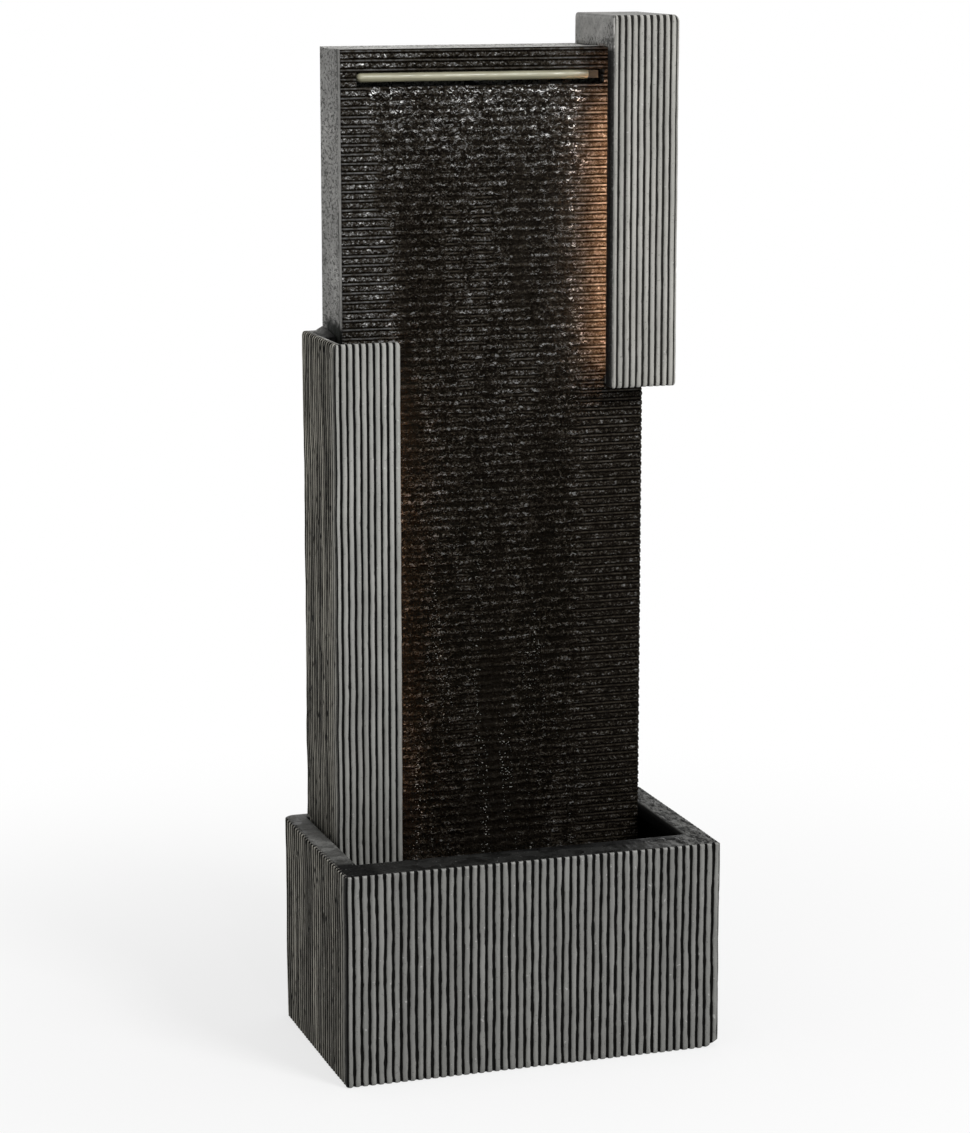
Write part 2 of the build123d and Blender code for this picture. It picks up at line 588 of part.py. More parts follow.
# Service door: a flanged lid with a shallow plug and a pull ridge, held by four thumbscrews
with BuildPart() as service_door:
    with BuildSketch(Plane.XZ.offset(-PANEL_OUTER)):
        with Locations(DOOR_CENTRE):
            RectangleRounded(
                DOOR_OPENING_WIDTH + 2 * DOOR_LAP, DOOR_OPENING_HEIGHT + 2 * DOOR_LAP, DOOR_CORNER_RADIUS
            )
            with GridLocations(THUMB_SPACING_X, THUMB_SPACING_Z, 2, 2):
                Circle(SCREW_HOLE / 2, mode=Mode.SUBTRACT)
    extrude(amount=-DOOR_THICKNESS)
    with BuildSketch(Plane.XZ.offset(-PANEL_OUTER)) as door_plug:
        with Locations(DOOR_CENTRE):
            RectangleRounded(
                DOOR_OPENING_WIDTH - 2 * DOOR_CLEARANCE,
                DOOR_OPENING_HEIGHT - 2 * DOOR_CLEARANCE,
                DOOR_CORNER_RADIUS,
            )
        offset(amount=-DOOR_PLUG_WALL, mode=Mode.SUBTRACT)
    extrude(amount=DOOR_PLUG_DEPTH)
    with BuildSketch(Plane.XZ.offset(-DOOR_OUTER)):
        with Locations(DOOR_CENTRE):
            SlotOverall(PULL_WIDTH, PULL_HEIGHT)
    extrude(amount=-PULL_DEPTH)
service_door.part.label = "service_door"
export_step(service_door.part, "parts/service_door.step")

with BuildPart() as door_thumbscrews:
    with BuildSketch(Plane.XZ.offset(-DOOR_OUTER)):
        with Locations(DOOR_CENTRE):
            with GridLocations(THUMB_SPACING_X, THUMB_SPACING_Z, 2, 2):
                Circle(THUMB_HEAD_DIAMETER / 2)
    extrude(amount=-THUMB_HEAD_HEIGHT)
    with BuildSketch(Plane.XZ.offset(-DOOR_OUTER)):
        with Locations(DOOR_CENTRE):
            with GridLocations(THUMB_SPACING_X, THUMB_SPACING_Z, 2, 2):
                Circle(SCREW_DIAMETER / 2)
    extrude(amount=THUMB_SHANK_LENGTH)
door_thumbscrews.part.label = "door_thumbscrews"
export_step(door_thumbscrews.part, "parts/door_thumbscrews.step")

# Cable grommet: a rubber spool in the panel, through which the leads would leave
with BuildPart() as cable_grommet:
    with BuildSketch(Plane.XZ.offset(-PANEL_INNER + GROMMET_LIP)):
        with Locations(GROMMET_PLACE):
            Circle(GROMMET_WAIST / 2)
    extrude(amount=-PANEL_THICKNESS - 2 * GROMMET_LIP)
    with BuildSketch(Plane.XZ.offset(-PANEL_INNER), Plane.XZ.offset(-PANEL_OUTER - GROMMET_LIP)):
        with Locations(GROMMET_PLACE):
            Circle(GROMMET_FLANGE / 2)
    extrude(amount=GROMMET_LIP)
    with BuildSketch(Plane.XZ.offset(-PANEL_INNER + GROMMET_LIP)):
        with Locations(GROMMET_PLACE):
            Circle(GROMMET_BORE / 2)
    extrude(amount=-PANEL_THICKNESS - 2 * GROMMET_LIP, mode=Mode.SUBTRACT)
cable_grommet.part.label = "cable_grommet"
export_step(cable_grommet.part, "parts/cable_grommet.step")

# Spill tube: closed and domed at the left, fed from behind by a tee, slit along its underside
tube_axis = Axis((0, TUBE_Y, SPILL_HEIGHT), (1, 0, 0))
tube_radius = TUBE_DIAMETER / 2

with BuildPart() as spill_tube:
    with BuildSketch(Plane((0, TUBE_Y, SPILL_HEIGHT))):
        with BuildLine():
            RadiusArc((TUBE_LEFT, 0), (TUBE_LEFT + tube_radius, tube_radius), tube_radius)
            Polyline(
                (TUBE_LEFT + tube_radius, tube_radius),
                (TUBE_RIGHT, tube_radius),
                (TUBE_RIGHT, 0),
                (TUBE_LEFT, 0),
            )
        make_face()
    revolve(axis=tube_axis)
    with BuildSketch(Plane.XZ.offset(-TUBE_Y)):
        with Locations((SLOT_CENTRE, SPILL_HEIGHT)):
            Circle(TEE_DIAMETER / 2)
    extrude(amount=-TEE_LENGTH)
    with BuildSketch(Plane.YZ.offset(TUBE_RIGHT)):
        with Locations((TUBE_Y, SPILL_HEIGHT)):
            Circle(TUBE_BORE / 2)
    extrude(amount=TUBE_LEFT + tube_radius - TUBE_RIGHT, mode=Mode.SUBTRACT)
    with BuildSketch(Plane.XZ.offset(-TUBE_Y)):
        with Locations((SLOT_CENTRE, SPILL_HEIGHT)):
            Circle(TEE_BORE / 2)
    extrude(amount=-TEE_LENGTH, mode=Mode.SUBTRACT)
    with BuildSketch(Plane.XY.offset(SPILL_HEIGHT)):
        with Locations(((TUBE_LEFT + TUBE_RIGHT) / 2, TUBE_Y)):
            Rectangle(TUBE_RIGHT - TUBE_LEFT - 2 * SPILL_SLIT_MARGIN, SPILL_SLIT_WIDTH)
    extrude(amount=-TUBE_DIAMETER, mode=Mode.SUBTRACT)
spill_tube.part.label = "spill_tube"
export_step(spill_tube.part, "parts/spill_tube.step")

with BuildPart() as spill_tube_plug:
    with BuildSketch(Plane.YZ.offset(TUBE_RIGHT)):
        with Locations((TUBE_Y, SPILL_HEIGHT)):
            Rectangle(PLUG_WIDTH, PLUG_WIDTH)
    extrude(amount=PLUG_LENGTH)
    with BuildSketch(Plane.YZ.offset(TUBE_RIGHT)):
        with Locations((TUBE_Y, SPILL_HEIGHT)):
            Circle(TUBE_BORE / 2 - PUSH_FIT)
    extrude(amount=-PLUG_SPIGOT)
spill_tube_plug.part.label = "spill_tube_plug"
export_step(spill_tube_plug.part, "parts/spill_tube_plug.step")

with BuildPart() as spill_tube_keepers:
    with BuildSketch(Plane.XZ.offset(-SLATE_BACK)):
        with Locations((SLOT_CENTRE, SLOT_TOP - SLOT_HEIGHT / 2)):
            with GridLocations(KEEPER_SPACING, 0, 2, 1):
                Rectangle(KEEPER_WIDTH, KEEPER_HEIGHT)
    extrude(amount=SLATE_BACK - TUBE_BACK - KEEPER_THICKNESS)
    with BuildSketch(Plane.XZ.offset(-SLATE_BACK)):
        with Locations((SLOT_CENTRE, SLOT_TOP - SLOT_HEIGHT / 2)):
            Rectangle(KEEPER_SPACING + 2 * KEEPER_WIDTH, SLOT_HEIGHT)
    extrude(amount=SLATE_BACK - TUBE_BACK, mode=Mode.SUBTRACT)
spill_tube_keepers.part.label = "spill_tube_keepers"
export_step(spill_tube_keepers.part, "parts/spill_tube_keepers.step")

# Riser: an elbow on the tee, a straight hose down to the pump, two spring clamps and two wall clips
elbow_start = TUBE_BACK + KEEPER_THICKNESS

with BuildPart() as hose_elbow:
    with BuildLine() as elbow_path:
        FilletPolyline(
            (HOSE_X, elbow_start, SPILL_HEIGHT),
            (HOSE_X, HOSE_Y, SPILL_HEIGHT),
            (HOSE_X, HOSE_Y, ELBOW_END),
            radius=ELBOW_BEND_RADIUS,
        )
    with BuildSketch(Plane.XZ.offset(-elbow_start)):
        with Locations((HOSE_X, SPILL_HEIGHT)):
            Circle(ELBOW_DIAMETER / 2)
            Circle(TEE_DIAMETER / 2 + PUSH_FIT, mode=Mode.SUBTRACT)
    sweep(path=elbow_path.wires()[0])
hose_elbow.part.label = "hose_elbow"
export_step(hose_elbow.part, "parts/hose_elbow.step")

with BuildPart() as riser_hose:
    with BuildSketch(Plane.XY.offset(HOSE_BOTTOM)):
        with Locations((HOSE_X, HOSE_Y)):
            Circle(HOSE_DIAMETER / 2)
            Circle(HOSE_BORE / 2, mode=Mode.SUBTRACT)
    extrude(amount=HOSE_TOP - HOSE_BOTTOM)
riser_hose.part.label = "riser_hose"
export_step(riser_hose.part, "parts/riser_hose.step")

clamp_inside = HOSE_DIAMETER / 2 + PUSH_FIT

with BuildPart() as upper_hose_clamp:
    with BuildSketch(Plane.XY.offset(HOSE_TOP - CLAMP_END_GAP - CLAMP_WIDTH)):
        with Locations((HOSE_X, HOSE_Y)):
            Circle(clamp_inside + CLAMP_WALL)
        with Locations((HOSE_X, HOSE_Y + clamp_inside + CLAMP_EAR / 2)):
            Rectangle(CLAMP_EAR, CLAMP_EAR)
        with Locations((HOSE_X, HOSE_Y)):
            Circle(clamp_inside, mode=Mode.SUBTRACT)
    extrude(amount=CLAMP_WIDTH)
upper_hose_clamp.part.label = "upper_hose_clamp"
export_step(upper_hose_clamp.part, "parts/upper_hose_clamp.step")

with BuildPart() as lower_hose_clamp:
    with BuildSketch(Plane.XY.offset(HOSE_BOTTOM + CLAMP_END_GAP)):
        with Locations((HOSE_X, HOSE_Y)):
            Circle(clamp_inside + CLAMP_WALL)
        with Locations((HOSE_X, HOSE_Y + clamp_inside + CLAMP_EAR / 2)):
            Rectangle(CLAMP_EAR, CLAMP_EAR)
        with Locations((HOSE_X, HOSE_Y)):
            Circle(clamp_inside, mode=Mode.SUBTRACT)
    extrude(amount=CLAMP_WIDTH)
lower_hose_clamp.part.label = "lower_hose_clamp"
export_step(lower_hose_clamp.part, "parts/lower_hose_clamp.step")

with BuildPart() as hose_clips:
    with BuildSketch(*[Plane.XY.offset(height - CLIP_WIDTH / 2) for height in CLIP_HEIGHTS]):
        with Locations((HOSE_X, HOSE_Y)):
            Circle(clamp_inside + CLIP_WALL)
        with Locations((HOSE_X, (SLATE_BACK + HOSE_Y) / 2)):
            Rectangle(CLIP_STEM, HOSE_Y - SLATE_BACK)
        with Locations((HOSE_X, SLATE_BACK + CLIP_WALL / 2)):
            Rectangle(CLIP_FOOT, CLIP_WALL)
        with Locations((HOSE_X, HOSE_Y)):
            Circle(clamp_inside, mode=Mode.SUBTRACT)
    extrude(amount=CLIP_WIDTH)
hose_clips.part.label = "hose_clips"
export_step(hose_clips.part, "parts/hose_clips.step")

# Pump motor: a sealed block with the rotor bore open towards the volute
pump_centre = (HOSE_Y, PUMP_AXIS)
foot_places = [
    (x, HOSE_Y + side * (PUMP_WIDTH / 2 - FOOT_INSET))
    for x in (VOLUTE_BACK + FOOT_INSET, MOTOR_END - FOOT_INSET)
    for side in (-1, 1)
]
motor_foot = BASIN_FLOOR + FOOT_HEIGHT

with BuildPart() as pump_motor:
    with BuildSketch(Plane.YZ.offset(VOLUTE_BACK)):
        with Locations(pump_centre):
            RectangleRounded(PUMP_WIDTH, PUMP_HEIGHT, MOTOR_EDGE_RADIUS)
    extrude(amount=MOTOR_LENGTH)
    fillet(pump_motor.faces().sort_by(Axis.X)[-1].edges(), radius=MOTOR_END_RADIUS)
    with BuildSketch(Plane.YZ.offset(VOLUTE_BACK)):
        with Locations(pump_centre):
            Circle(ROTOR_DIAMETER / 2 + ROTOR_GAP)
    extrude(amount=BORE_END - VOLUTE_BACK, mode=Mode.SUBTRACT)
    with BuildSketch(Plane.YZ.offset(BORE_END)):
        with Locations(pump_centre):
            Circle(BUSH_DIAMETER / 2)
    extrude(amount=BUSH_LENGTH, mode=Mode.SUBTRACT)
    with BuildSketch(Plane.YZ.offset(VOLUTE_BACK)):
        with Locations(pump_centre):
            Circle(SEAL_DIAMETER / 2 + SEAL_SECTION / 2 + PUSH_FIT)
            Circle(SEAL_DIAMETER / 2 - SEAL_SECTION / 2 - PUSH_FIT, mode=Mode.SUBTRACT)
    extrude(amount=SEAL_SECTION + 2 * PUSH_FIT, mode=Mode.SUBTRACT)
    with BuildSketch(Plane.XY.offset(motor_foot)):
        with Locations(*foot_places):
            Circle(FOOT_STEM / 2 + PUSH_FIT)
    extrude(amount=FOOT_STEM_LENGTH + PUSH_FIT, mode=Mode.SUBTRACT)
pump_motor.part.label = "pump_motor"
export_step(pump_motor.part, "parts/pump_motor.step")

with BuildPart() as pump_suction_feet:
    with BuildSketch(Plane.XY.offset(BASIN_FLOOR)):
        with Locations(*foot_places):
            Circle(FOOT_DIAMETER / 2)
    extrude(amount=FOOT_HEIGHT, taper=FOOT_TAPER)
    with BuildSketch(Plane.XY.offset(motor_foot)):
        with Locations(*foot_places):
            Circle(FOOT_STEM / 2)
    extrude(amount=FOOT_STEM_LENGTH)
pump_suction_feet.part.label = "pump_suction_feet"
export_step(pump_suction_feet.part, "parts/pump_suction_feet.step")

with BuildPart() as pump_cable_gland:
    with BuildSketch(Plane.YZ.offset(MOTOR_END)):
        with Locations((HOSE_Y, PUMP_AXIS + GLAND_RISE)):
            RegularPolygon(GLAND_HEX / 2, 6, major_radius=False)
    extrude(amount=GLAND_HEX_LENGTH)
    with BuildSketch(Plane.YZ.offset(MOTOR_END)):
        with Locations((HOSE_Y, PUMP_AXIS + GLAND_RISE)):
            Circle(GLAND_NECK / 2)
    extrude(amount=GLAND_LENGTH)
    with BuildSketch(Plane.YZ.offset(MOTOR_END)):
        with Locations((HOSE_Y, PUMP_AXIS + GLAND_RISE)):
            Circle(GLAND_BORE / 2)
    extrude(amount=GLAND_LENGTH, mode=Mode.SUBTRACT)
pump_cable_gland.part.label = "pump_cable_gland"
export_step(pump_cable_gland.part, "parts/pump_cable_gland.step")

# Pump volute: impeller chamber with an inlet spider in front and the outlet spigot on top
with BuildPart() as pump_volute:
    with BuildSketch(Plane.YZ.offset(VOLUTE_FRONT)):
        with Locations(pump_centre):
            RectangleRounded(VOLUTE_WIDTH, VOLUTE_WIDTH, MOTOR_EDGE_RADIUS)
    extrude(amount=VOLUTE_LENGTH)
    with BuildSketch(Plane.XY.offset(PUMP_AXIS)):
        with Locations((HOSE_X, HOSE_Y)):
            Circle(OUTLET_DIAMETER / 2)
    extrude(amount=OUTLET_TOP - PUMP_AXIS)
    with BuildSketch(Plane.XY.offset(PUMP_AXIS)):
        with Locations((HOSE_X, HOSE_Y)):
            Circle(OUTLET_BORE / 2)
    extrude(amount=OUTLET_TOP - PUMP_AXIS, mode=Mode.SUBTRACT)
    with BuildSketch(Plane.YZ.offset(VOLUTE_FRONT + VOLUTE_WALL)):
        with Locations(pump_centre):
            Circle(CHAMBER_DIAMETER / 2)
    extrude(amount=VOLUTE_LENGTH - VOLUTE_WALL, mode=Mode.SUBTRACT)
    with BuildSketch(Plane.YZ.offset(VOLUTE_FRONT)):
        with Locations(pump_centre):
            Circle(INLET_DIAMETER / 2)
    extrude(amount=VOLUTE_WALL, mode=Mode.SUBTRACT)
    with BuildSketch(Plane.YZ.offset(VOLUTE_FRONT)):
        with Locations(pump_centre):
            Rectangle(INLET_DIAMETER + SPIDER_ARM, SPIDER_ARM)
            Rectangle(SPIDER_ARM, INLET_DIAMETER + SPIDER_ARM)
    extrude(amount=VOLUTE_WALL)
    with BuildSketch(Plane.YZ.offset(VOLUTE_FRONT)):
        with Locations(pump_centre):
            Circle(SPIDER_HUB / 2)
    extrude(amount=BUSH_LENGTH)
    with BuildSketch(Plane.YZ.offset(VOLUTE_FRONT)):
        with Locations(pump_centre):
            Circle(BUSH_DIAMETER / 2)
    extrude(amount=BUSH_LENGTH, mode=Mode.SUBTRACT)
pump_volute.part.label = "pump_volute"
export_step(pump_volute.part, "parts/pump_volute.step")

with BuildPart() as pump_seal:
    with BuildSketch(Plane.YZ.offset(VOLUTE_BACK + PUSH_FIT)):
        with Locations(pump_centre):
            Circle(SEAL_DIAMETER / 2 + SEAL_SECTION / 2)
            Circle(SEAL_DIAMETER / 2 - SEAL_SECTION / 2, mode=Mode.SUBTRACT)
    extrude(amount=SEAL_SECTION)
pump_seal.part.label = "pump_seal"
export_step(pump_seal.part, "parts/pump_seal.step")

# Intake cover: a slotted cup pushed over the front of the volute, with the flow dial on its face
with BuildPart() as pump_intake_cover:
    with BuildSketch(Plane.YZ.offset(COVER_FRONT)):
        with Locations(pump_centre):
            RectangleRounded(COVER_OUTSIDE, COVER_OUTSIDE, MOTOR_EDGE_RADIUS + COVER_WALL)
    extrude(amount=COVER_LENGTH + COVER_SKIRT)
    with BuildSketch(Plane.YZ.offset(COVER_FRONT + COVER_WALL)):
        with Locations(pump_centre):
            RectangleRounded(COVER_INSIDE, COVER_INSIDE, MOTOR_EDGE_RADIUS)
    extrude(amount=COVER_LENGTH + COVER_SKIRT - COVER_WALL, mode=Mode.SUBTRACT)
    with BuildSketch(Plane.XZ.offset(-HOSE_Y)):
        with Locations(((COVER_FRONT + COVER_WALL + VOLUTE_FRONT) / 2, PUMP_AXIS)):
            with GridLocations(COVER_SLOT_PITCH, 0, COVER_SLOT_COUNT, 1):
                SlotOverall(COVER_SLOT_HEIGHT, COVER_SLOT_WIDTH, rotation=90)
    extrude(amount=COVER_OUTSIDE, both=True, mode=Mode.SUBTRACT)
    with BuildSketch(Plane.YZ.offset(COVER_FRONT)):
        with Locations(pump_centre):
            Circle(DIAL_STEM / 2 + DIAL_RUNNING_GAP)
            with GridLocations(0, 2 * PORT_RADIUS, 1, 2):
                Circle(PORT_DIAMETER / 2)
    extrude(amount=COVER_WALL, mode=Mode.SUBTRACT)
pump_intake_cover.part.label = "pump_intake_cover"
export_step(pump_intake_cover.part, "parts/pump_intake_cover.step")

dial_back = COVER_FRONT - FACE_CLEARANCE

with BuildPart() as pump_flow_dial:
    with BuildSketch(Plane.YZ.offset(dial_back)):
        with Locations(pump_centre):
            Circle(DIAL_DIAMETER / 2)
            with GridLocations(0, 2 * PORT_RADIUS, 1, 2):
                Circle(PORT_DIAMETER / 2, mode=Mode.SUBTRACT)
    extrude(amount=-DIAL_THICKNESS)
    with BuildSketch(Plane.YZ.offset(dial_back - DIAL_THICKNESS)):
        with Locations(pump_centre):
            SlotOverall(DIAL_DIAMETER - DIAL_GRIP_WIDTH, DIAL_GRIP_WIDTH)
    extrude(amount=-DIAL_GRIP_HEIGHT)
    with BuildSketch(Plane.YZ.offset(dial_back)):
        with Locations(pump_centre):
            Circle(DIAL_STEM / 2)
    extrude(amount=COVER_WALL + 2 * FACE_CLEARANCE)
    with BuildSketch(Plane.YZ.offset(COVER_FRONT + COVER_WALL + FACE_CLEARANCE)):
        with Locations(pump_centre):
            Circle(DIAL_STEM / 2 + DIAL_CATCH)
    extrude(amount=COVER_WALL)
pump_flow_dial.part.label = "pump_flow_dial"
export_step(pump_flow_dial.part, "parts/pump_flow_dial.step")

# Rotor: impeller and magnet turning on a fixed ceramic shaft between two bushes
impeller_front = VOLUTE_FRONT + BUSH_LENGTH + ROTOR_END_GAP
rotor_bore = SHAFT_DIAMETER / 2 + SHAFT_RUNNING_GAP
blade_reach = (IMPELLER_DIAMETER - IMPELLER_HUB) / 2

with BuildPart() as pump_impeller:
    with BuildSketch(Plane.YZ.offset(impeller_front)):
        with Locations(pump_centre):
            Circle(IMPELLER_HUB / 2)
    extrude(amount=VOLUTE_BACK - impeller_front)
    with BuildSketch(Plane.YZ.offset(impeller_front)):
        with Locations(pump_centre):
            with PolarLocations(IMPELLER_HUB / 2 + blade_reach / 2 - BLADE_THICKNESS / 2, IMPELLER_BLADES):
                Rectangle(blade_reach + BLADE_THICKNESS, BLADE_THICKNESS)
    extrude(amount=BLADE_LENGTH)
    with BuildSketch(Plane.YZ.offset(impeller_front + BLADE_LENGTH)):
        with Locations(pump_centre):
            Circle(IMPELLER_DIAMETER / 2)
    extrude(amount=BLADE_THICKNESS)
    with BuildSketch(Plane.YZ.offset(impeller_front)):
        with Locations(pump_centre):
            Circle(rotor_bore)
    extrude(amount=VOLUTE_BACK - impeller_front, mode=Mode.SUBTRACT)
pump_impeller.part.label = "pump_impeller"
export_step(pump_impeller.part, "parts/pump_impeller.step")

with BuildPart() as pump_rotor_magnet:
    with BuildSketch(Plane.YZ.offset(VOLUTE_BACK)):
        with Locations(pump_centre):
            Circle(ROTOR_DIAMETER / 2)
            Circle(rotor_bore, mode=Mode.SUBTRACT)
    extrude(amount=BORE_END - ROTOR_END_GAP - VOLUTE_BACK)
pump_rotor_magnet.part.label = "pump_rotor_magnet"
export_step(pump_rotor_magnet.part, "parts/pump_rotor_magnet.step")

with BuildPart() as pump_shaft:
    with BuildSketch(Plane.YZ.offset(VOLUTE_FRONT)):
        with Locations(pump_centre):
            Circle(SHAFT_DIAMETER / 2)
    extrude(amount=BORE_END + BUSH_LENGTH - VOLUTE_FRONT)
pump_shaft.part.label = "pump_shaft"
export_step(pump_shaft.part, "parts/pump_shaft.step")

with BuildPart() as pump_shaft_bushes:
    with BuildSketch(Plane.YZ.offset(VOLUTE_FRONT), Plane.YZ.offset(BORE_END)):
        with Locations(pump_centre):
            Circle(BUSH_DIAMETER / 2 - PUSH_FIT)
            Circle(SHAFT_DIAMETER / 2 + PUSH_FIT, mode=Mode.SUBTRACT)
    extrude(amount=BUSH_LENGTH)
pump_shaft_bushes.part.label = "pump_shaft_bushes"
export_step(pump_shaft_bushes.part, "parts/pump_shaft_bushes.step")

# Light strips: sleeved strips stuck behind the front plates, beside the short returns, with end caps
block_strip_x = BLOCK_LEFT + CASTING_WALL + STRIP_SIDE_GAP + STRIP_WIDTH / 2
block_strip_y = BLOCK_FRONT + CASTING_WALL
block_strip_low = BLOCK_BOTTOM + CASTING_WALL + STRIP_END_GAP
block_strip_high = WALL_TOP - STRIP_END_GAP
pillar_strip_x = PILLAR_RIGHT - CASTING_WALL - STRIP_SIDE_GAP - STRIP_WIDTH / 2
pillar_strip_y = PILLAR_FRONT + CASTING_WALL
pillar_strip_low = BASIN_HEIGHT + STRIP_END_GAP
pillar_strip_high = pillar_lid_top - CASTING_WALL - STRIP_END_GAP

with BuildPart() as block_led_strip:
    with BuildSketch(Plane.XY.offset(block_strip_low)):
        with Locations((block_strip_x, block_strip_y + STRIP_THICKNESS / 2)):
            Rectangle(STRIP_WIDTH, STRIP_THICKNESS)
    extrude(amount=block_strip_high - block_strip_low)
block_led_strip.part.label = "block_led_strip"
export_step(block_led_strip.part, "parts/block_led_strip.step")

with BuildPart() as block_led_end_caps:
    with BuildSketch(Plane.XY.offset(block_strip_low - CAP_LENGTH), Plane.XY.offset(block_strip_high)):
        with Locations((block_strip_x, block_strip_y + STRIP_THICKNESS / 2 + CAP_LIP / 2)):
            Rectangle(STRIP_WIDTH + CAP_LIP, STRIP_THICKNESS + CAP_LIP)
    extrude(amount=CAP_LENGTH)
block_led_end_caps.part.label = "block_led_end_caps"
export_step(block_led_end_caps.part, "parts/block_led_end_caps.step")

with BuildPart() as pillar_led_strip:
    with BuildSketch(Plane.XY.offset(pillar_strip_low)):
        with Locations((pillar_strip_x, pillar_strip_y + STRIP_THICKNESS / 2)):
            Rectangle(STRIP_WIDTH, STRIP_THICKNESS)
    extrude(amount=pillar_strip_high - pillar_strip_low)
pillar_led_strip.part.label = "pillar_led_strip"
export_step(pillar_led_strip.part, "parts/pillar_led_strip.step")

with BuildPart() as pillar_led_end_caps:
    with BuildSketch(Plane.XY.offset(pillar_strip_low - CAP_LENGTH), Plane.XY.offset(pillar_strip_high)):
        with Locations((pillar_strip_x, pillar_strip_y + STRIP_THICKNESS / 2 + CAP_LIP / 2)):
            Rectangle(STRIP_WIDTH + CAP_LIP, STRIP_THICKNESS + CAP_LIP)
    extrude(amount=CAP_LENGTH)
pillar_led_end_caps.part.label = "pillar_led_end_caps"
export_step(pillar_led_end_caps.part, "parts/pillar_led_end_caps.step")
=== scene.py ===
"""Looks of a garden fountain: ribbed castings, wet slate wall, spill bar, hidden lights and stage."""

import math
from collections import namedtuple

import bmesh
import bpy
from bpy.props import FloatProperty, FloatVectorProperty, IntProperty, PointerProperty
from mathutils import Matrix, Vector, noise


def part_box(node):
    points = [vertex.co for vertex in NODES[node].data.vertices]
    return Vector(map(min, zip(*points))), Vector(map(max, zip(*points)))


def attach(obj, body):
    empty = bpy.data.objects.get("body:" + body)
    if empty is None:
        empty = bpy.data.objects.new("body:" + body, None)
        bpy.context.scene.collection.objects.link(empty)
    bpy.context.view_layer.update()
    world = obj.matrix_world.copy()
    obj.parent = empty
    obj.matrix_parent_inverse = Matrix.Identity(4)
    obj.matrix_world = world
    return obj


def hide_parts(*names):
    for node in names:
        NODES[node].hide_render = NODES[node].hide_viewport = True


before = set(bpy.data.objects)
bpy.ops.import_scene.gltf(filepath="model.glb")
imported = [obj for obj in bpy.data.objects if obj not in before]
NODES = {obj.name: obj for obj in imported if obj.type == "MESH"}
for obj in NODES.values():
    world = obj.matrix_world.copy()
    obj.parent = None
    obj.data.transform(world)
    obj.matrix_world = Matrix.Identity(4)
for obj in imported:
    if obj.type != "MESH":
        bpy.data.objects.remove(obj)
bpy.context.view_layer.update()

bl_info = {
    "name": "Ribbed Garden Fountain",
    "version": (1, 0, 0),
    "blender": (4, 5, 0),
    "location": "3D View > Sidebar > Fountain",
    "description": "Builds the castings, slate wall, fittings and stage of a garden fountain",
    "category": "Object",
}

BASIN_LOW, BASIN_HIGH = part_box("basin")
SLATE_LOW, SLATE_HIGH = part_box("slate_face")
PILLAR_LOW, PILLAR_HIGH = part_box("left_pillar")
BLOCK_LOW, BLOCK_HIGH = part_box("upper_block")
SHELL_LOW, SHELL_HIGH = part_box("tower_shell")
TUBE_LOW, TUBE_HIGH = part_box("spill_tube")

# Walls and rim of the basin, in metres
BASIN_WALL = 0.010
BASIN_BACK_WALL = 0.012
BASIN_FLOOR = 0.010
BASIN_FOOT_INSET = 0.0016
BASIN_BACK_RADIUS = 0.012
RIM_SIDE = 0.023
RIM_FRONT = 0.041
RIM_THICKNESS = 0.014
LIP_ROUNDING = 0.0015
MOUTH_FRONT = BASIN_LOW.y + RIM_FRONT
MOUTH_RIGHT = BASIN_HIGH.x - RIM_SIDE

# Walls and corners of the pillar and the block
CASTING_WALL = 0.008
CORNER_RADIUS = 0.003
PILLAR_EDGE_RADIUS = 0.0018
RETURN_DEPTH = 0.016
RETURN_SHADE = 0.72
RETURN_DARKENING = 0.5
FACE_CLEARANCE = 0.0003
PILLAR_SEAT = SLATE_LOW.x - FACE_CLEARANCE
BLOCK_SEAT = SLATE_HIGH.x + FACE_CLEARANCE
FRONT_SEAT = SLATE_LOW.y - FACE_CLEARANCE
PILLAR_LID_TOP = PILLAR_HIGH.z - 0.040
FOOT_CLEARANCE = 0.0005
FOOT_BACK = BASIN_HIGH.y - BASIN_BACK_WALL - FOOT_CLEARANCE
FOOT_RUN = 0.0125
LEDGE_SLOPE = 0.0004

# Plain strips at the ends of ribbed sides and where the ribs of the two fronts begin and end
BARE_END = 0.0024
BARE_FADE = 0.001
PILLAR_OVERRUN = 0.0018
BLOCK_FIRST_GROOVE = 0.0020

# How much wider the grooves get towards the top
LOW_FLARE = 0.3
BLOCK_FLARE = 0.9

# Spacing of the points on a skin
RIB_STEP = 0.0009
PLAIN_STEP = 0.006
CASTING_ROW = 0.0042
HIDDEN_ROW = 0.03
RIM_ROWS = 14
SLATE_COLUMN = 0.0026
SLATE_ROW = 0.0011
SLATE_HIDDEN_ROW = 0.0044
CEMENT_STEP = 0.006
ARC_STEPS = 3
# Depth below the basin's top from which the wide rows of the tower's foot begin and the close ones end
HIDDEN_BELOW_RIM = 0.03
SHOWN_BELOW_RIM = 0.02
# Distances at which two points count as one and a point counts as on a face
TOUCHING = 1e-6
ON_FACE = 1e-5

# First and last full row of the basin's skin, measured from its foot and its top
SKIN_FOOT = 0.0014
SKIN_TOP = 0.0022
# Outer edge of the rim: drop from the top, inset, depth of the grooves, worn and highlighted edge and rim
# paint
RIM_EDGE = (
    (0.0010, 0.0, 1.0, 0.7, 0.0),
    (0.0002, 0.0008, 0.85, 1.0, 0.0),
    (0.0, 0.0022, 0.7, 1.0, 0.35),
    (0.0, 0.0042, 0.0, 0.0, 1.0),
)
# Mouth of the basin: drop from the top, rim paint and painted shade
MOUTH_ROWS = ((0.0014, 0.2, 0.92), (0.006, 0.0, 1.0), (RIM_THICKNESS, 0.0, 1.0))
# Drop from the end of a rib and how far its rounded tip has drawn in there
RIB_TIPS = ((0.0044, 0.0), (0.0024, 0.0003), (0.0011, 0.0009), (0.0003, 0.0017), (0.0, 0.0026))
TIP_START = 0.0080
TIP_RING = 0.0056
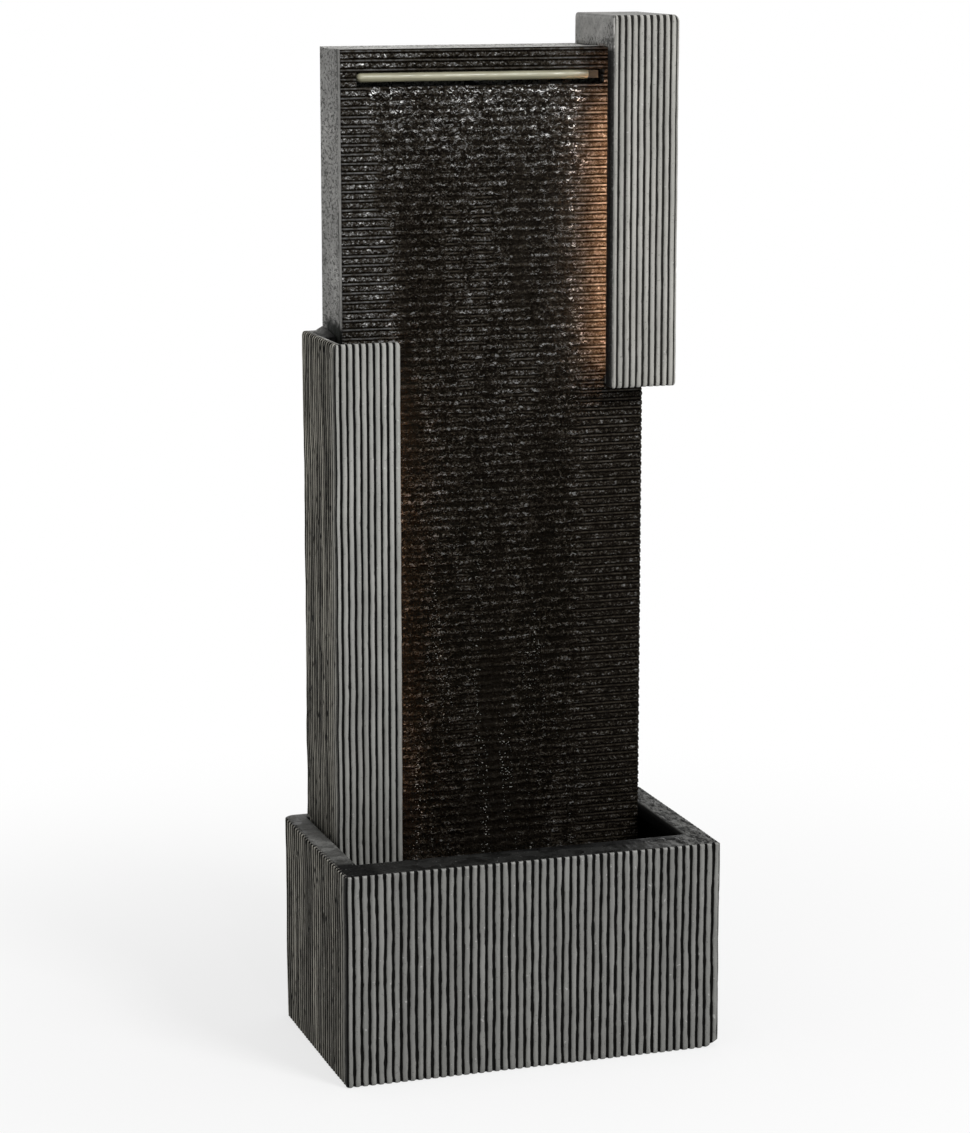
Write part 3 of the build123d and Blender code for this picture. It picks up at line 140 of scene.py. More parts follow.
# Open top of the pillar: drop of the inner edge, of the shaded row and from the lid to the dark row
CREST_DROP = 0.0006
SHADED_DROP = 0.012
DARK_DROP = 0.002
PILLAR_FIRST_ROW = 0.002

# Smear of grout behind the pillar: where it runs, how deep it goes and how it climbs the tower
GROUT_INSET = 0.006
GROUT_LENGTH = 0.050
GROUT_END = 0.0004
GROUT_STEP = 0.004
GROUT_DEPTH = 0.0090
GROUT_CLIMB = 0.0055
GROUT_LUMPS = 0.0010
GROUT_SAG = 0.45
# How far its edge on the wall, its edge on the tower and its sagging middle sink
GROUT_SINKS = (0.0012, 0.0015, 0.0016)

# Uneven cement sides: how far they sink in, over which depth they meet the flat back,
# and the scale and share of their broad and fine swells
CEMENT_SWAY = 0.0011
CEMENT_LEVEL = 0.6
CEMENT_HOLD = 0.014
CEMENT_SWELLS = ((22.0, 1.0), (95.0, 0.5))
CEMENT_CREASE = 35

# Slot, inlet windows, edges and courses of the slate wall
SLOT_LEFT = SLATE_LOW.x + 0.016
SLOT_RIGHT = SLATE_HIGH.x - 0.043
SLOT_TOP = SLATE_HIGH.z - 0.022
SLOT_HEIGHT = 0.014
SLOT_FOOT = SLOT_TOP - SLOT_HEIGHT
WINDOW_WIDTH = 0.034
WINDOW_HEIGHT = 0.024
WINDOW_SPACING = 0.058
WINDOW_COUNT = 4
SLATE_SHOULDER = 0.0027
SLATE_TOP_BITE = -0.7
COURSE_COUNT = 109

# Middles of the rough band and the smooth fillet in the height of one slate course
BAND_MIDDLE = 0.25
FILLET_MIDDLE = 0.75

# Left and right edge of the wet part of the wall
WET_LEFT = SLOT_LEFT + 0.0115
WET_RIGHT = SLOT_RIGHT - 0.0255

# Stretches over which a paint or a relief changes, from where it starts to where it is complete
BELOW_SLOT = (SLOT_FOOT + 0.004, SLOT_FOOT - 0.004)
BAR_GLOW = (SLOT_FOOT - 0.134, SLOT_FOOT + 0.001)
WALL_GLOW = (SLATE_LOW.z + 0.37, SLOT_FOOT - 0.034)
VEIL_FALL = (SLOT_FOOT - 0.004, SLOT_FOOT - 0.054)
LANE_FALL = (SLOT_FOOT - 0.054, SLOT_FOOT - 0.114)
BY_BLOCK_ACROSS = (BLOCK_LOW.x - 0.0927, BLOCK_LOW.x - 0.0047)
BY_BLOCK_UP = (BLOCK_LOW.z - 0.021, BLOCK_LOW.z + 0.039)
ABOVE_PILLAR = (PILLAR_HIGH.z - 0.036, PILLAR_HIGH.z + 0.024)
LEFT_CHEEK = (SLATE_LOW.x + 0.0435, SLATE_LOW.x + 0.0035)
SLATE_POCKET_SHADE = (PILLAR_HIGH.z + 0.013, PILLAR_HIGH.z + 0.005)
CEMENT_POCKET_SHADE = (PILLAR_HIGH.z + 0.017, PILLAR_HIGH.z + 0.008)
RIM_RIGHT = (MOUTH_RIGHT - 0.067, MOUTH_RIGHT - 0.002)
RIM_LEFT = (0.017 - MOUTH_RIGHT, -0.003 - MOUTH_RIGHT)
RIM_BACK = (MOUTH_FRONT - 0.011, MOUTH_FRONT + 0.054)
RIM_STRIP = (MOUTH_FRONT + 0.008, MOUTH_FRONT - 0.004)
MOUTH_SPAN = (MOUTH_RIGHT - 0.001, MOUTH_RIGHT - 0.017)

# Colours that several finishes share
DEEP_BLACK = (0.004, 0.004, 0.004)
SOOT = (0.03, 0.03, 0.028)
PORE = (0.012, 0.012, 0.011)
PALE_GRAIN = (0.62, 0.62, 0.6)
WHITE = (1.0, 1.0, 1.0, 1.0)

# Distance between two diodes of a light strip
DIODE_SPACING = 0.0083

# Lamps of the stage: name, place, target, width and power
TOWER_MIDDLE = (0.0, 0.0, 0.6)
LAMPS = (
    ("key", (1.35, -2.7, 2.35), TOWER_MIDDLE, 0.9, 84.0),
    ("top", (0.0, 0.1, 2.7), (0.0, 0.1, 0.5), 1.1, 16.0),
    ("glint_0", (0.75, -2.5, 2.1), TOWER_MIDDLE, 0.12, 6.0),
    ("glint_1", (-0.2, -2.9, 2.3), TOWER_MIDDLE, 0.12, 6.0),
    ("glint_2", (1.7, -2.2, 1.8), TOWER_MIDDLE, 0.12, 6.0),
)
FLOOR_RADIUS = 9.0
FLOOR_DROP = -0.0005

# Camera matched to the photograph: place in metres, turn in degrees, lens and sensor in millimetres
CAMERA_PLACE = (-0.9950, -2.9658, 1.0994)
CAMERA_TURN = (78.67, 0.0, -18.30)
CAMERA_LENS = 104.26
SENSOR_WIDTH = 36.0


def from_screen(red, green, blue):
    """Linear colour of three screen values from 0 to 255."""

    def linear(value):
        share = value / 255
        return share / 12.92 if share <= 0.04045 else ((share + 0.055) / 1.055) ** 2.4

    return linear(red), linear(green), linear(blue)


def colour_property(name, description, red, green, blue):
    return FloatVectorProperty(
        name=name,
        description=description,
        default=from_screen(red, green, blue),
        min=0.0,
        max=1.0,
        size=3,
        subtype="COLOR",
    )


def length_property(name, description, default):
    return FloatProperty(
        name=name,
        description=description,
        default=default,
        min=0.0,
        soft_max=0.1,
        precision=4,
        unit="LENGTH",
    )


class FountainSizes(bpy.types.PropertyGroup):
    """Sizes of the ribs and slate courses"""

    basin_pitch: length_property("Basin Rib Pitch", "Distance between two ribs of the basin", 0.00776)
    pillar_pitch: length_property("Pillar Rib Pitch", "Distance between two ribs of the pillar", 0.0065)
    block_pitch: length_property("Block Rib Pitch", "Distance between two ribs of the block", 0.0068)
    basin_groove: length_property("Basin Groove", "Width of the grooves of the basin", 0.0027)
    tower_groove: length_property("Tower Groove", "Width of the grooves of the pillar and block", 0.0021)
    rib_relief: length_property("Rib Relief", "Depth of the grooves", 0.0026)
    basin_wander: length_property(
        "Basin Wander", "How far the basin's grooves stray from straight", 0.00075
    )
    tower_wander: length_property(
        "Tower Wander", "How far the tower's grooves stray from straight", 0.00022
    )
    course_pitch: length_property(
        "Course Pitch", "Height of one slate course", (SLATE_HIGH.z - SLATE_LOW.z) / COURSE_COUNT
    )
    course_relief: length_property("Course Relief", "Depth of the lines between slate courses", 0.0024)
    course_wander: length_property("Course Wander", "How far wet courses stray from level", 0.0030)
    seed: IntProperty(name="Seed", description="Start of the random wear and wander", default=7, min=0)


class FountainColours(bpy.types.PropertyGroup):
    """Paints and finishes of the fountain"""

    # The crowns are painted darker from the block down to the basin, as painted shade of light that falls
    # off downwards
    block_paint: colour_property("Block Paint", "Dry-brushed crowns of the upper block", 154, 153, 148)
    pillar_paint: colour_property("Pillar Paint", "Dry-brushed crowns of the left pillar", 149, 149, 145)
    basin_paint: colour_property("Basin Paint", "Dry-brushed crowns of the basin", 134, 134, 131)
    plain_paint: colour_property("Plain Casting", "Unribbed cast faces", 178, 177, 174)
    basin_wash: colour_property("Basin Wash", "Dark wash in the grooves of the basin", 4, 4, 3)
    pillar_wash: colour_property("Pillar Wash", "Dark wash in the grooves of the pillar", 9, 9, 8)
    block_wash: colour_property("Block Wash", "Dark wash in the grooves of the block", 34, 33, 31)
    rim_paint: colour_property("Rim Paint", "Top of the basin rim", 82, 82, 80)
    slate_crown: colour_property("Slate Crown", "Raised faces of the slate courses", 42, 38, 32)
    slate_line: colour_property("Slate Line", "Lines between the slate courses", 5, 3, 1)
    bar: colour_property("Spill Bar", "Tube that the water runs from", 146, 143, 121)
    glow: colour_property("Glow", "Light of the hidden strips", 255, 200, 160)
    glow_strength: FloatProperty(
        name="Glow Strength", description="Brightness of the hidden strips", default=52.0, min=0.0
    )


def as_colour(value):
    return value if isinstance(value, bpy.types.NodeSocket) else (*tuple(value)[:3], 1.0)


class Sheet:
    """Adds nodes to a tree. An input may be a number, a tuple or another node's socket."""

    def __init__(self, tree):
        self.tree = tree

    def feed(self, socket, value):
        if isinstance(value, bpy.types.NodeSocket):
            self.tree.links.new(value, socket)
        else:
            socket.default_value = value

    def add(self, kind, inputs=None, output=0, **settings):
        node = self.tree.nodes.new(kind)
        for name, value in settings.items():
            setattr(node, name, value)
        for key, value in (inputs or {}).items():
            self.feed(node.inputs[key], value)
        return node.outputs[output]

    def math(self, operation, *values):
        return self.add("ShaderNodeMath", dict(enumerate(values)), operation=operation)

    def chain(self, operation, first, others):
        for other in others:
            first = self.math(operation, first, other)
        return first

    def total(self, first, *others):
        return self.chain("ADD", first, others)

    def times(self, first, *others):
        return self.chain("MULTIPLY", first, others)

    def most(self, first, *others):
        return self.chain("MAXIMUM", first, others)

    def minus(self, first, second):
        return self.math("SUBTRACT", first, second)

    def rest(self, share):
        """What a share leaves of one."""
        return self.minus(1.0, share)

    def line(self, value, slope, start):
        """The value times the slope, plus the start."""
        return self.math("MULTIPLY_ADD", value, slope, start)

    def ramp(self, value, low, high, to_low=0.0, to_high=1.0):
        inputs = {0: value, 1: low, 2: high, 3: to_low, 4: to_high}
        return self.add("ShaderNodeMapRange", inputs, interpolation_type="SMOOTHSTEP")

    def noise(self, vector, scale, detail=2.0, roughness=0.5, distortion=0.0):
        inputs = {
            "Vector": vector,
            "Scale": scale,
            "Detail": detail,
            "Roughness": roughness,
            "Distortion": distortion,
        }
        return self.add("ShaderNodeTexNoise", inputs)

    def swing(self, vector, scale, detail=2.0):
        """Noise from about -1 to 1."""
        return self.line(self.noise(vector, scale, detail), 2.0, -1.0)

    def varied(self, vector, scale, low, high, detail=2.0, roughness=0.5):
        """A value that drifts between low and high over the surface."""
        return self.ramp(self.noise(vector, scale, detail, roughness), 0.3, 0.7, low, high)

    def spots(self, vector, scale, start, full, share=1.0, **kind):
        """The share in spots where a noise passes from its start to its full level, zero elsewhere."""
        return self.ramp(self.noise(vector, scale, **kind), start, full, 0.0, share)

    def strip(self, turns, middle, outer, inner):
        """One on a strip of each turn round its middle, zero from its outer half width on."""
        return self.ramp(self.apart(self.math("FRACT", turns), middle), outer, inner)

    def apart(self, first, second):
        return self.math("ABSOLUTE", self.minus(first, second))

    def vector(self, x, y, z):
        return self.add("ShaderNodeCombineXYZ", {0: x, 1: y, 2: z})

    def axes(self, vector):
        node = self.tree.nodes.new("ShaderNodeSeparateXYZ")
        self.feed(node.inputs[0], vector)
        return node.outputs[0], node.outputs[1], node.outputs[2]

    def stretch(self, vector, x, y, z):
        return self.add("ShaderNodeVectorMath", {0: vector, 1: (x, y, z)}, operation="MULTIPLY")

    def scaled(self, vector, factor):
        return self.add("ShaderNodeVectorMath", {0: vector, "Scale": factor}, operation="SCALE")

    def mix(self, share, first, second, blend="MIX"):
        inputs = {0: share, 6: as_colour(first), 7: as_colour(second)}
        return self.add("ShaderNodeMix", inputs, output=2, data_type="RGBA", blend_type=blend)

    def tinted(self, colour, tint):
        return self.mix(1.0, colour, tint, "MULTIPLY")

    def dimmed(self, colour, level):
        return self.tinted(colour, self.vector(level, level, level))


# Geometry node trees


class GrowthTree(Sheet):
    """A geometry node tree with named inputs that ends in realised geometry with one material."""

    KINDS = {float: "NodeSocketFloat", int: "NodeSocketInt"}

    def __init__(self, name, defaults):
        tree = bpy.data.node_groups.new(name, "GeometryNodeTree")
        super().__init__(tree)
        tree.interface.new_socket("Geometry", in_out="INPUT", socket_type="NodeSocketGeometry")
        for label, value in defaults.items():
            kind = self.KINDS[type(value)]
            socket = tree.interface.new_socket(label, in_out="INPUT", socket_type=kind)
            socket.default_value = value
        tree.interface.new_socket("Material", in_out="INPUT", socket_type="NodeSocketMaterial")
        tree.interface.new_socket("Geometry", in_out="OUTPUT", socket_type="NodeSocketGeometry")
        self.entry = tree.nodes.new("NodeGroupInput")
        self.geometry = self.entry.outputs["Geometry"]

    def size(self, label):
        return self.entry.outputs[label]

    def field(self, name, kind="FLOAT"):
        return self.add("GeometryNodeInputNamedAttribute", {"Name": name}, data_type=kind)

    def keep(self, name, value):
        inputs = {"Geometry": self.geometry, "Name": name, "Value": value}
        settings = {"data_type": "FLOAT", "domain": "POINT"}
        self.geometry = self.add("GeometryNodeStoreNamedAttribute", inputs, **settings)

    def shift(self, offset):
        inputs = {"Geometry": self.geometry, "Offset": offset}
        self.geometry = self.add("GeometryNodeSetPosition", inputs)

    def close(self):
        real = self.add("GeometryNodeRealizeInstances", {"Geometry": self.geometry})
        painted = self.add("GeometryNodeSetMaterial", {"Geometry": real, "Material": self.size("Material")})
        leave = self.tree.nodes.new("NodeGroupOutput")
        self.feed(leave.inputs["Geometry"], painted)
        return self.tree


def rib_tree():
    """Cuts wandering grooves into a skin whose points know their place along the ribs."""
    name = "Rib relief"
    if name in bpy.data.node_groups:
        return bpy.data.node_groups[name]
    defaults = {
        "Rib Pitch": 0.0078,
        "Groove Width": 0.0024,
        "Relief": 0.0026,
        "Wander": 0.0005,
        "Ragged": 0.4,
        "Sway": 0.0008,
        "Seed": 1,
    }
    sheet = GrowthTree(name, defaults)
    pitch, width = sheet.size("Rib Pitch"), sheet.size("Groove Width")
    seed = sheet.times(sheet.size("Seed"), 3.7)
    place = sheet.add("GeometryNodeInputPosition")
    across, _, height = sheet.axes(place)
    run = sheet.field("run")

    # Where each groove runs and how wide it is
    groove = sheet.math("ROUND", sheet.math("DIVIDE", run, pitch))
    drift_place = sheet.vector(sheet.times(groove, 3.17), sheet.times(height, 24.0), seed)
    drift = sheet.times(sheet.swing(drift_place, 1.0, 4.0), sheet.size("Wander"), 1.6)
    ragged_place = sheet.vector(sheet.line(groove, 5.3, 40.0), sheet.times(height, 95.0), seed)
    ragged = sheet.line(sheet.swing(ragged_place, 1.0, 3.0), sheet.size("Ragged"), 1.0)
    half = sheet.times(width, ragged, sheet.line(sheet.field("flare"), 0.26, 0.5))
    distance = sheet.apart(run, sheet.line(groove, pitch, drift))

    # Rounded and chipped crowns of the ribs between the grooves
    flank = sheet.times(width, 0.24)
    crown = sheet.ramp(distance, sheet.minus(half, flank), sheet.total(half, flank))
    dome = sheet.line(sheet.ramp(distance, half, sheet.times(pitch, 0.5)), 0.13, 0.87)
    chips = sheet.spots(sheet.stretch(place, 1.0, 1.0, 0.7), 190.0, 0.60, 0.74)
    level = sheet.times(crown, dome, sheet.line(chips, -0.3, 1.0))
    cut = sheet.times(sheet.rest(level), sheet.field("mask"))

    # Uneven skin, with beads on the right of the rim
    grain = sheet.times(sheet.swing(place, 330.0), 0.00013)
    sway = sheet.times(sheet.swing(place, 26.0), 0.00035)
    bead_share = sheet.times(sheet.field("bead"), sheet.ramp(across, 0.06, 0.15, 0.25, 1.0))
    beads = sheet.times(bead_share, sheet.spots(place, 120.0, 0.47, 0.66, detail=1.0))
    cut_depth = sheet.times(cut, sheet.size("Relief"), -1.0)
    depth = sheet.total(cut_depth, grain, sway, sheet.times(beads, 0.0022))
    sheet.keep("bead", beads)
    sheet.keep("relief", sheet.rest(cut))
    sheet.keep("tone", sheet.noise(sheet.vector(sheet.times(groove, 7.3), 0.5, seed), 1.0, 0.0))
    sheet.shift(sheet.scaled(sheet.field("push", "FLOAT_VECTOR"), depth))

    # Outer ribs that lean to and fro
    outer = sheet.ramp(sheet.math("ABSOLUTE", across), 0.10, 0.16)
    lean = sheet.swing(sheet.stretch(place, 0.3, 0.3, 1.0), 13.0)
    sheet.shift(sheet.vector(sheet.times(lean, outer, sheet.size("Sway")), 0.0, 0.0))
    return sheet.close()


def course_tree():
    """Turns a flat sheet into slate courses: rough level ribs, broken where the water runs."""
    name = "Slate courses"
    if name in bpy.data.node_groups:
        return bpy.data.node_groups[name]
    defaults = {
        "Course Pitch": 0.0088,
        "Foot": 0.01,
        "Relief": 0.0024,
        "Wander": 0.0016,
        "Wet Left": WET_LEFT,
        "Wet Right": WET_RIGHT,
        "Seed": 1,
    }
    sheet = GrowthTree(name, defaults)
    relief = sheet.size("Relief")
    seed = sheet.times(sheet.size("Seed"), 2.3)
    place = sheet.add("GeometryNodeInputPosition")
    across, _, height = sheet.axes(place)
    flat = sheet.vector(across, height, seed)

    # Where the water runs, with drier lanes in it
    margin = sheet.times(sheet.swing(sheet.stretch(flat, 0.5, 1.0, 1.0), 24.0), 0.016)
    edge = sheet.total(across, margin)
    to_pillar = sheet.ramp(height, SLOT_FOOT - 0.004, PILLAR_HIGH.z + 0.014, 0.0, 0.024)
    drift = sheet.times(to_pillar, sheet.ramp(height, PILLAR_HIGH.z - 0.056, PILLAR_HIGH.z + 0.004))
    shore = sheet.total(sheet.size("Wet Left"), drift)
    from_left = sheet.ramp(sheet.minus(edge, shore), -0.008, 0.012)
    from_right = sheet.ramp(sheet.minus(sheet.size("Wet Right"), edge), -0.012, 0.014)
    soaked = sheet.times(from_left, from_right, sheet.ramp(height, *BELOW_SLOT))
    lane_across = sheet.total(across, sheet.times(margin, 0.4))
    lane_place = sheet.vector(lane_across, sheet.times(height, 0.11), seed)
    lane = sheet.times(sheet.spots(lane_place, 31.0, 0.57, 0.63), sheet.ramp(height, *LANE_FALL))
    wet = sheet.times(soaked, sheet.line(lane, -0.85, 1.0))

    # Bands and fillets of the courses, which stray where it is wet
    stray = sheet.swing(sheet.stretch(flat, 1.0, 0.8, 1.0), 95.0, 3.0)
    strayed = sheet.times(stray, sheet.size("Wander"), sheet.line(wet, 0.9, 0.1))
    above = sheet.minus(sheet.total(height, strayed), sheet.size("Foot"))
    course = sheet.math("DIVIDE", above, sheet.size("Course Pitch"))
    broad = sheet.strip(course, BAND_MIDDLE, 0.25, 0.17)
    fillet = sheet.strip(course, FILLET_MIDDLE, 0.14, 0.05)
    profile = sheet.most(broad, sheet.times(fillet, sheet.line(wet, -0.56, 0.62)))

    # Split faces and lumps
    rough = sheet.swing(sheet.stretch(flat, 1.0, 1.5, 1.0), 170.0, 3.0)
    lumps = sheet.swing(sheet.stretch(flat, 1.0, 1.1, 1.0), 75.0)
    shaped = sheet.times(profile, sheet.line(rough, 0.42, 0.78), sheet.line(wet, -0.28, 1.0))
    rippled = sheet.total(shaped, sheet.times(lumps, wet, 0.58))
    raised = sheet.add("ShaderNodeClamp", {0: rippled, 1: 0.0, 2: 1.1})
    cut = sheet.times(sheet.rest(raised), sheet.field("mask"))
    sheet.keep("relief", raised)
    sheet.keep("wet", wet)
    sheet.keep("course", course)
    bite = sheet.times(sheet.minus(1.1, raised), relief, 0.14)
    bitten = sheet.scaled(sheet.field("push", "FLOAT_VECTOR"), bite)
    sunk = sheet.vector(0.0, sheet.times(cut, relief), 0.0)
    sheet.shift(sheet.add("ShaderNodeVectorMath", {0: bitten, 1: sunk}, operation="ADD"))
    return sheet.close()


def grow(piece, tree, material, sizes):
    """Runs a geometry node tree on a piece and keeps the result as its plain mesh."""
    modifier = piece.modifiers.new(tree.name, "NODES")
    modifier.node_group = tree
    identifiers = {
        item.name: item.identifier
        for item in tree.interface.items_tree
        if item.item_type == "SOCKET" and item.in_out == "INPUT"
    }
    for label, value in {**sizes, "Material": material}.items():
        modifier[identifiers[label]] = value
    depsgraph = bpy.context.evaluated_depsgraph_get()
    ready = piece.evaluated_get(depsgraph)
    grown = bpy.data.meshes.new_from_object(ready, preserve_all_data_layers=True, depsgraph=depsgraph)
    if not grown.polygons:
        raise RuntimeError(f"{tree.name} left nothing of {piece.name}")
    piece.modifiers.clear()
    spare = piece.data
    piece.data = grown
    grown.name = piece.name
    bpy.data.meshes.remove(spare)


# Skins of the castings

Station = namedtuple("Station", "x y out_x out_y run mask plain")
WornCorner = namedtuple("WornCorner", "x y level move reach")


class Side:
    """One straight side of a plan outline, with half of the rounded corner at each end."""

    def __init__(
        self, start, end, pitch=None, radii=(0.0, 0.0), bare=(0.0, 0.0), first_groove=0.0, overrun=0.0
    ):
        self.start, self.end = Vector(start), Vector(end)
        self.pitch, self.radii, self.bare, self.first_groove = pitch, radii, bare, first_groove
        self.length = (self.end - self.start).length
        self.ribbed = self.length + overrun - first_groove
        self.along = (self.end - self.start).normalized()
        self.outward = Vector((self.along.y, -self.along.x))

    def distances(self):
        step = RIB_STEP if self.pitch else PLAIN_STEP
        return levels(self.radii[0], self.length - self.radii[1], step)

    def station(self, distance, place, out, base):
        scale, mask = 1.0, 0.0
        if self.pitch:
            scale = round(self.ribbed / self.pitch) * self.pitch / self.ribbed
            from_start = (distance - self.bare[0]) / BARE_FADE if self.bare[0] else 1.0
            from_end = (self.length - distance - self.bare[1]) / BARE_FADE if self.bare[1] else 1.0
            mask = max(0.0, min(1.0, from_start, from_end))
        run = base + (distance - self.first_groove) * scale
        return Station(place.x, place.y, out.x, out.y, run, mask, 0.0 if self.pitch else 1.0)

    def arc(self, radius, at_end, base):
        """Stations on this side's half of a rounded corner."""
        found = []
        half_turn = math.pi / 4
        corner = self.end - self.along * radius if at_end else self.start + self.along * radius
        middle = corner - self.outward * radius
        for number in range(ARC_STEPS):
            step = number + 1 if at_end else ARC_STEPS - number
            angle = half_turn * step / ARC_STEPS
            lean = self.along * math.sin(angle) * (1 if at_end else -1)
            out = self.outward * math.cos(angle) + lean
            reach = radius * math.sin(angle) / math.sin(half_turn)
            distance = self.length - radius + reach if at_end else radius - reach
            found.append(self.station(distance, middle + out * radius, out, base))
        return found

    def stations(self, base):
        found = self.arc(self.radii[0], False, base) if self.radii[0] else []
        for distance in self.distances():
            found.append(self.station(distance, self.start + self.along * distance, self.outward, base))
        if self.radii[1]:
            found += self.arc(self.radii[1], True, base)
        return found


def walk(sides, closed):
    """Stations along a run of sides; two sides share the middle of their corner."""
    found, base = [], 0.0
    for side in sides:
        new = side.stations(base)
        found += new[1:] if found else new
        base = side.station(side.length, side.end, side.outward, base).run
    return found[:-1] if closed else found


class Casting:
    """Collects the points, faces and painted zones of one cast piece."""

    # One of the fields carries painted shade that darkens hollows, corners and pockets towards black
    FIELDS = ("run", "mask", "plain", "rim", "inside", "edge", "weather", "flare", "bead")
    LEAST_SHADED_SIDE = 0.2
    SIDE_SHADE_REACH = 0.026
    CORNER_SHADE = 0.005
    SHADE_START = 1.5
    DEEPEST_SHADE = 0.97
    FLARE_HEIGHT = 0.012

    def __init__(self, front=0.0, top=0.0, flare=0.0, worn=None):
        self.front, self.top, self.flare, self.worn = front, top, flare, worn
        self.places, self.pushes, self.faces, self.smooth = [], [], [], []
        self.fields = {name: [] for name in self.FIELDS}

    def point(self, x, y, z, push=(0.0, 0.0, 0.0), **fields):
        self.places.append((x, y, z))
        self.pushes.extend(push)
        for name in self.FIELDS:
            self.fields[name].append(fields.get(name, 0.0))
        return len(self.places) - 1

    def row(self, stations, z, inset=0.0, groove=1.0, partners=None, **fields):
        """One row of points round the outline, set in from it or on its partners further in."""
        found = []
        for number, at in enumerate(stations):
            push, mask = (at.out_x, at.out_y, 0.0), at.mask * groove
            x, y = at.x - at.out_x * inset, at.y - at.out_y * inset
            if partners:
                x, y = partners[number]
                push, mask = (0.0, 0.0, fields.get("bead", 0.0)), 0.0
            # Left sides carry painted light and shade, less of it near the front corner
            side_reach = min(1.0, max(self.LEAST_SHADED_SIDE, (at.y - self.front) / self.SIDE_SHADE_REACH))
            weather = side_reach * max(0.0, -at.out_x) ** 3
            own = {"run": at.run, "mask": mask, "weather": weather, "plain": at.plain}
            own.update(fields)
            own["flare"] = self.flare * min(1.0, max(0.0, 1.0 - (self.top - z) / self.FLARE_HEIGHT))
            # Painted shade: a dark band on the left side next to the front corner
            on_left = at.out_x < -0.5
            if on_left and at.mask and not partners:
                shade = self.SHADE_START - (at.y - self.front) / self.CORNER_SHADE
                own["inside"] = max(own.get("inside", 0.0), min(self.DEEPEST_SHADE, shade))
            found.append(self.point(x, y, z + self.softening(x, y, z), push, **own))
        return found

    def rows(self, stations, heights):
        return [self.row(stations, z) for z in heights]

    def tips(self, stations, end, way):
        """Rows over the rounded tips of the ribs, at their upper end (1) or their lower end (-1)."""
        return [self.row(stations, end - way * drop, inset=inset) for drop, inset in RIB_TIPS[::way]]

    def softening(self, x, y, z):
        """How far a worn corner's points move up or down."""
        if not self.worn:
            return 0.0
        away = math.hypot(x - self.worn.x, y - self.worn.y) / self.worn.reach
        near = max(0.0, 1.0 - abs(z - self.worn.level) / (3.0 * self.worn.reach))
        return self.worn.move * near * math.exp(-away * away)

    def face(self, corners, smooth=False):
        self.faces.append(corners)
        self.smooth.append(smooth)

    def band(self, lower, upper, closed=False, smooth=True):
        """Quads between two rows that run the same way."""
        count = len(lower)
        for first in range(count if closed else count - 1):
            second = (first + 1) % count
            self.face((lower[first], lower[second], upper[second], upper[first]), smooth)

    def bands(self, rows, closed=False):
        for lower, upper in zip(rows, rows[1:]):
            self.band(lower, upper, closed)

    def prism(self, outline, low, high, **fields):
        """A closed plate on an outline that runs anticlockwise seen from above."""
        bottom = [self.point(x, y, low, **fields) for x, y in outline]
        top = [self.point(x, y, high, **fields) for x, y in outline]
        self.band(bottom, top, closed=True, smooth=False)
        self.face(top)
        self.face(bottom[::-1])

    def piece(self, name):
        mesh = bpy.data.meshes.new(name)
        mesh.from_pydata(self.places, [], self.faces)
        mesh.polygons.foreach_set("use_smooth", self.smooth)
        for field, values in self.fields.items():
            mesh.attributes.new(field, "FLOAT", "POINT").data.foreach_set("value", values)
        mesh.attributes.new("push", "FLOAT_VECTOR", "POINT").data.foreach_set("vector", self.pushes)
        return placed(name, mesh)


def placed(name, data):
    piece = bpy.data.objects.new(name, data)
    bpy.context.scene.collection.objects.link(piece)
    return piece


def inset_plan(low, high, inset):
    """Front left and back right corner of a box's plan, drawn in on every side."""
    return (low.x + inset, low.y + inset), (high.x - inset, high.y - inset)


def held_in(low, high, stations):
    """The nearest place to each station in a plan rectangle."""
    return [(min(max(at.x, low[0]), high[0]), min(max(at.y, low[1]), high[1])) for at in stations]


def between(stations, places, share):
    """Places at a share of the way from each station to its own place."""
    found = []
    for at, (x, y) in zip(stations, places):
        found.append((at.x + (x - at.x) * share, at.y + (y - at.y) * share))
    return found


def drawn_in(stations, start, back):
    """The same stations, with those behind the start drawn forward so that none lies beyond the back."""
    share = (back - start) / (max(at.y for at in stations) - start)
    return [at._replace(y=start + (at.y - start) * share) if at.y > start else at for at in stations]


def levels(low, high, step):
    count = max(1, round((high - low) / step))
    return [low + (high - low) * number / count for number in range(count + 1)]


def joined_levels(runs):
    """Levels through runs of low, high and step that follow each other."""
    found = [runs[0][0]]
    for low, high, step in runs:
        found += levels(low, high, step)[1:]
    return found


def stand_for(piece, node):
    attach(piece, "root")
    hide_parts(node)


# Materials

# Finishes by name, because the frame's own materials may hold the same names
FINISHES = {}


def new_material(name):
    material = bpy.data.materials.new(name)
    FINISHES[name] = material
    material.use_nodes = True
    tree = material.node_tree
    tree.nodes.clear()
    shader = tree.nodes.new("ShaderNodeBsdfPrincipled")
    leave = tree.nodes.new("ShaderNodeOutputMaterial")
    tree.links.new(shader.outputs[0], leave.inputs["Surface"])
    return material, Sheet(tree), shader


def own_place(sheet):
    return sheet.add("ShaderNodeTexCoord", output=3)


def zone(sheet, name):
    return sheet.add("ShaderNodeAttribute", output=2, attribute_name=name)


def coat(sheet, shader, colour, roughness, shine=0.5):
    sheet.feed(shader.inputs["Base Color"], as_colour(colour))
    sheet.feed(shader.inputs["Roughness"], roughness)
    shader.inputs["Specular IOR Level"].default_value = shine


def bump(sheet, shader, height, strength, distance):
    inputs = {"Height": height, "Strength": strength, "Distance": distance}
    sheet.feed(shader.inputs["Normal"], sheet.add("ShaderNodeBump", inputs))


def mottled(sheet, place, colour, scale=24.0, low=0.80, high=1.14):
    """A paint whose depth drifts over the surface."""
    return sheet.dimmed(colour, sheet.varied(place, scale, low, high, 4.0, 0.62))


